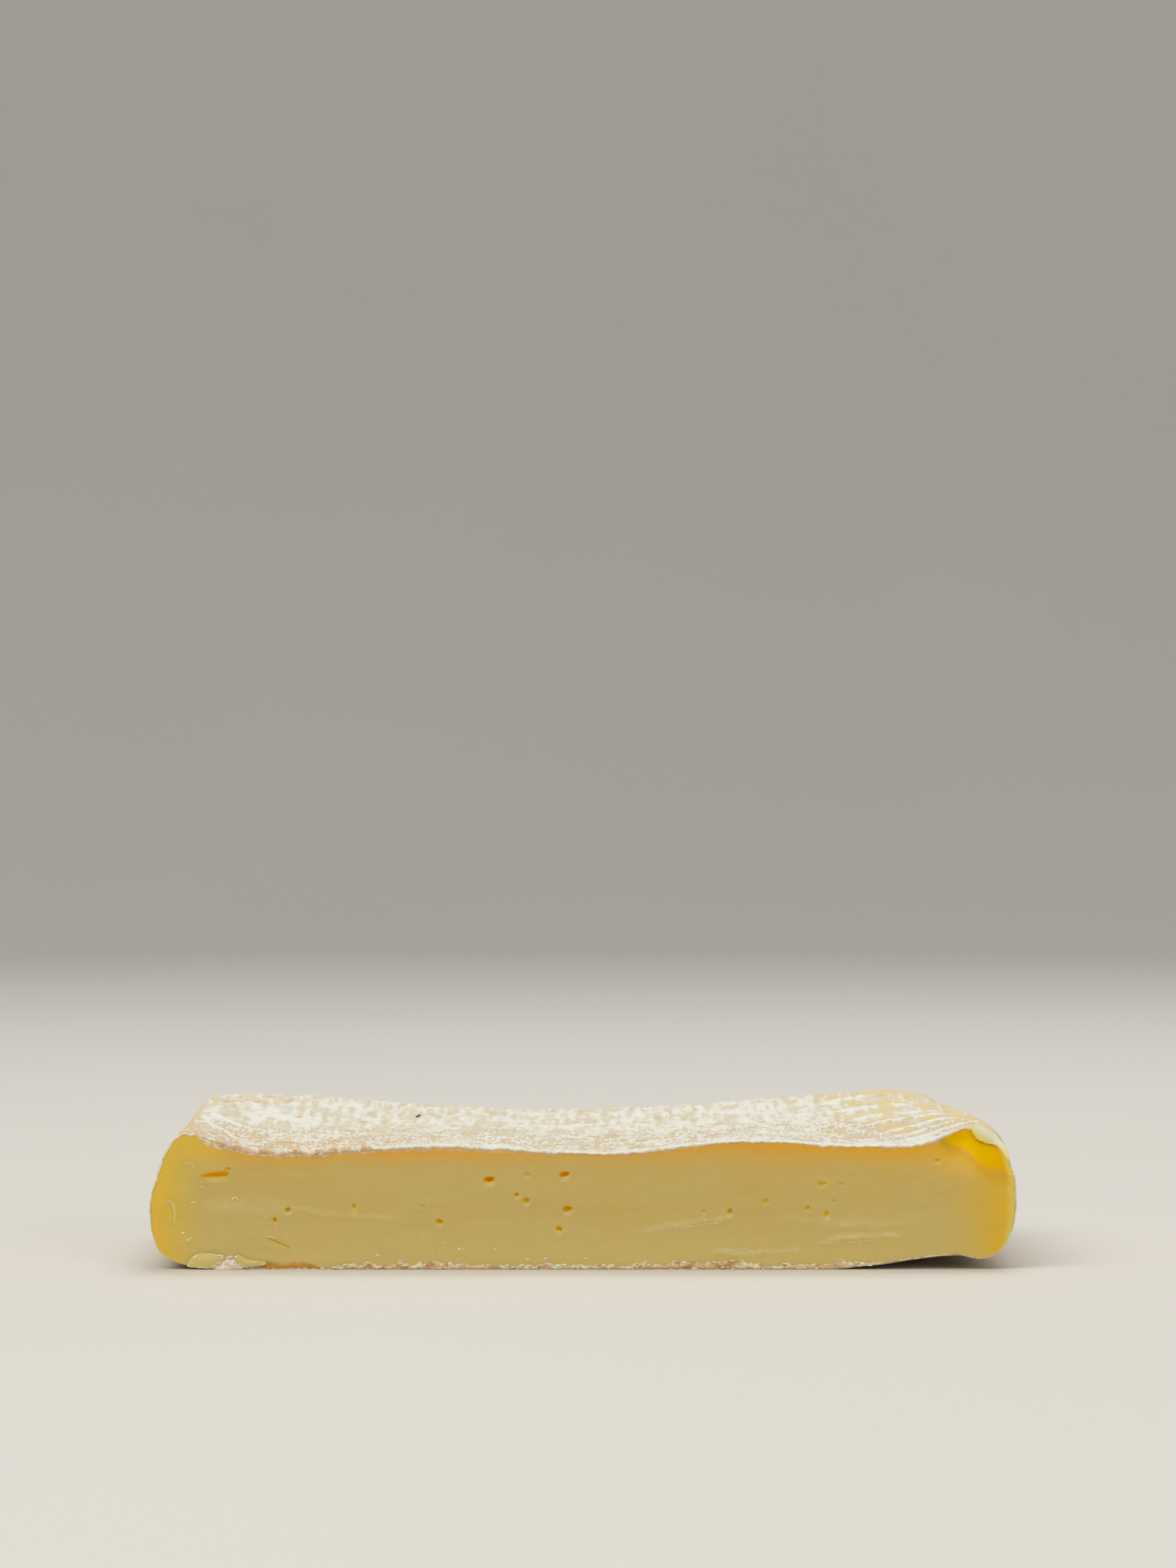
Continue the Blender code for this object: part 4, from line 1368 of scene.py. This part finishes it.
def placeCrumbs(material, pasteMaterial):
    places = []
    for kind, nearest, farthest in (("foot", 0.2, 0.62), ("gap", 0.4, 1.15)):
        for index in range(crumbs[kind]["count"]):
            x = random.uniform(crumbs[kind]["from"], crumbs[kind]["to"])
            size = crumbSize(kind)
            if kind == "foot":
                z = along(block["bottom"], x) + random.random() ** 1.6 * footHeight(x) * 0.95 + 0.2
            else:
                z = random.uniform(0.25, 3.6 - 0.15 * (x - heap["x"]) ** 2)
            if kind == "foot" or z > 0.2:
                places.append((Vector((x, block["cutY"] - random.uniform(nearest, farthest), z)), size))
    makeCrumbs("footCrumbs", places, material, (1.7, 0.8, 0.62))
    places = []
    for run in ("left", "right"):
        edge = [spot for spot in cutEdges[run] if crumbs[run]["low"] < spot.z < crumbs[run]["high"]]
        for index in range(crumbs[run]["count"]):
            spot, size = random.choice(edge), crumbSize(run)
            places.append((spot + Vector((0.0, random.uniform(-0.2, 0.6), random.uniform(-0.4, 0.4))), size))
    lip = crumbs["lip"]
    for index in range(lip["count"]):
        x, size = random.uniform(lip["from"], lip["to"]), crumbSize("lip")
        z = along(topCrust["hangs"], x) + random.random() * 1.4 - 0.1
        places.append((Vector((x, block["cutY"] - random.uniform(0.0, 0.25), z)), size))
    makeCrumbs("edgeCrumbs", places, material)
    places = [(onCutFace(x, z, size * 0.05), size) for x, z, size in crumbs["single"]]
    specks = crumbs["specks"]
    for index in range(specks["count"]):
        x, z = random.uniform(specks["from"], specks["to"]), random.uniform(specks["low"], specks["high"])
        size = random.uniform(*specks["size"])
        places.append((onCutFace(x, z, size * 0.05), size))
    makeCrumbs("cutSpecks", places, pasteMaterial, (1.3, 0.45, 0.8))


# a dark scrap of leaf stuck to the top: x, depth, how far above it, and its turn
leaf = {
    "x": -44.1,
    "depth": 72.1,
    "lift": 0.25,
    "turn": (0.0, -0.32, 0.6),
    "dark": (28, 60, 58),
    "light": (60, 84, 66),
}


def makeLeafScrap():
    scrap = lumpyBall(3)
    place = placed(leaf["x"], leaf["depth"], topHeight(leaf["x"], leaf["depth"]) + leaf["lift"])
    turn = Euler(leaf["turn"]).to_matrix()
    points = []
    for x, y, z in readPoints(scrap):
        points.append(place + turn @ Vector((x * 0.85 * (1.0 - 0.3 * z), y * 0.35, z * 0.22 + 0.1 * x ** 2)))
    writePoints(scrap, points)
    scrap.name = "leafScrap"
    material, tree, shader = newMaterial("darkLeaf")
    setShader(shader, blend(cloudy(spots(tree), 0.5, 2.0), leaf["dark"], leaf["light"]), 0.6)
    finishPiece(scrap, material)


# bits of paste on the cut: plain colour, colour of the rim, and how streaky
bits = {
    "smearedPaste": ((236, 218, 146), (244, 230, 172), 0.2),
    "flakePaste": ((222, 202, 124), (238, 226, 176), 0.5),
    "speckPaste": ((248, 234, 184), (248, 234, 184), 0.0),
    "soft": (0.4, (1.0, 0.6, 0.2), 0.0007),
}


def pasteBitsLook(name):
    plain, rimColour, streaky = bits[name]
    material, tree, shader = newMaterial(name)
    where = spots(tree)
    colour = layered(
        plain,
        (graded(cloudy(where, 2.0), 0.4, 0.75, 0.0, streaky), paste["streak"]),
        (graded(marksOf(tree)[0], 0.2, 0.9), rimColour))
    if name == "smearedPaste":  # golden beside the left rim
        # the golden here is partly painted glow of light through the rind, as at the paste's sides
        colour = blend(graded(partsOf(where)[0], -94.0, -102.0, 0.0, 0.6), colour, paste["leftSide"])
    setShader(shader, colour, 0.55, bits["soft"])
    addBump(shader, cloudy(where, 0.7), 0.12, 0.6)
    return material


makeSmears(pasteBitsLook("smearedPaste"))
makeFold(foldLook())
makeFlakes(pasteBitsLook("flakePaste"))
softMould = crustLook("crumbs")
makeHeap(softMould)
placeCrumbs(softMould, pasteBitsLook("speckPaste"))
makeLeafScrap()
print("smears, flakes and crumbs made")


# floor, lights and camera

studio = {
    "floor": ((226, 221, 212), (222, 217, 207)),
    "flat": 2.6,  # metres of flat floor round the middle, then a rounded rise of this radius
    "wall": 1.8,
    "world": (0.95, 0.97, 1.0),
    "worldStrength": 0.40,
    # place, size and power of each soft light, all aimed at the cheese
    "lights": (
        ("keyLight", (-1.1, -1.2, 2.0), 1.8, 28.0),
        ("fillLight", (1.5, -1.9, 0.9), 1.6, 10.5),
        ("topLight", (0.3, 0.9, 1.9), 1.6, 16.0),
    ),
    "lightColour": (1.0, 0.99, 0.97),
    "lens": 118.6,
    "cameraPlace": (0.00135, -1.36437, 0.1202),
    "tiltUp": 0.126,  # degrees
}


def makeFloor():
    obj = sheetOfQuads("floor", 96, 96)
    points = []
    for x, y, z in readPoints(obj):
        away = max(abs(x), abs(y)) / max(1e-6, math.hypot(x, y))
        x, y = x * away, y * away
        far = math.hypot(x, y) * (studio["flat"] + studio["wall"])
        angle = math.atan2(y, x)
        past = max(0.0, far - studio["flat"]) / studio["wall"] * math.pi / 2.0
        far = min(far, studio["flat"]) + studio["wall"] * math.sin(past)
        up = studio["wall"] * (1.0 - math.cos(past))
        points.append((far * math.cos(angle), far * math.sin(angle), up))
    writePoints(obj, points, 1.0)
    bpy.ops.object.shade_smooth()
    material, tree, shader = newMaterial("paleFloor")
    setShader(shader, blend(cloudy(spots(tree), 400.0, 2.0), *studio["floor"]), 0.7)
    obj.data.materials.append(material)


makeFloor()
world = bpy.data.worlds.new("softRoom")
bpy.context.scene.world = world
world.use_nodes = True
background = world.node_tree.nodes["Background"]
background.inputs["Color"].default_value = studio["world"] + (1.0,)
background.inputs["Strength"].default_value = studio["worldStrength"]
for name, place, size, power in studio["lights"]:
    bpy.ops.object.light_add(type="AREA", location=place)
    light = bpy.context.object
    light.name = name
    light.data.shape = "DISK"
    light.data.size = size
    light.data.energy = power
    light.data.color = studio["lightColour"]
    light.rotation_euler = (-Vector(place)).to_track_quat("-Z", "Y").to_euler()
bpy.ops.object.camera_add(location=studio["cameraPlace"])
camera = bpy.context.object
camera.rotation_euler = (math.radians(90.0 + studio["tiltUp"]), 0.0, 0.0)
camera.data.lens = studio["lens"]
camera.data.clip_start = 0.02
bpy.context.scene.camera = camera
bpy.context.scene.view_settings.view_transform = "Standard"
print("floor, lights and camera set")
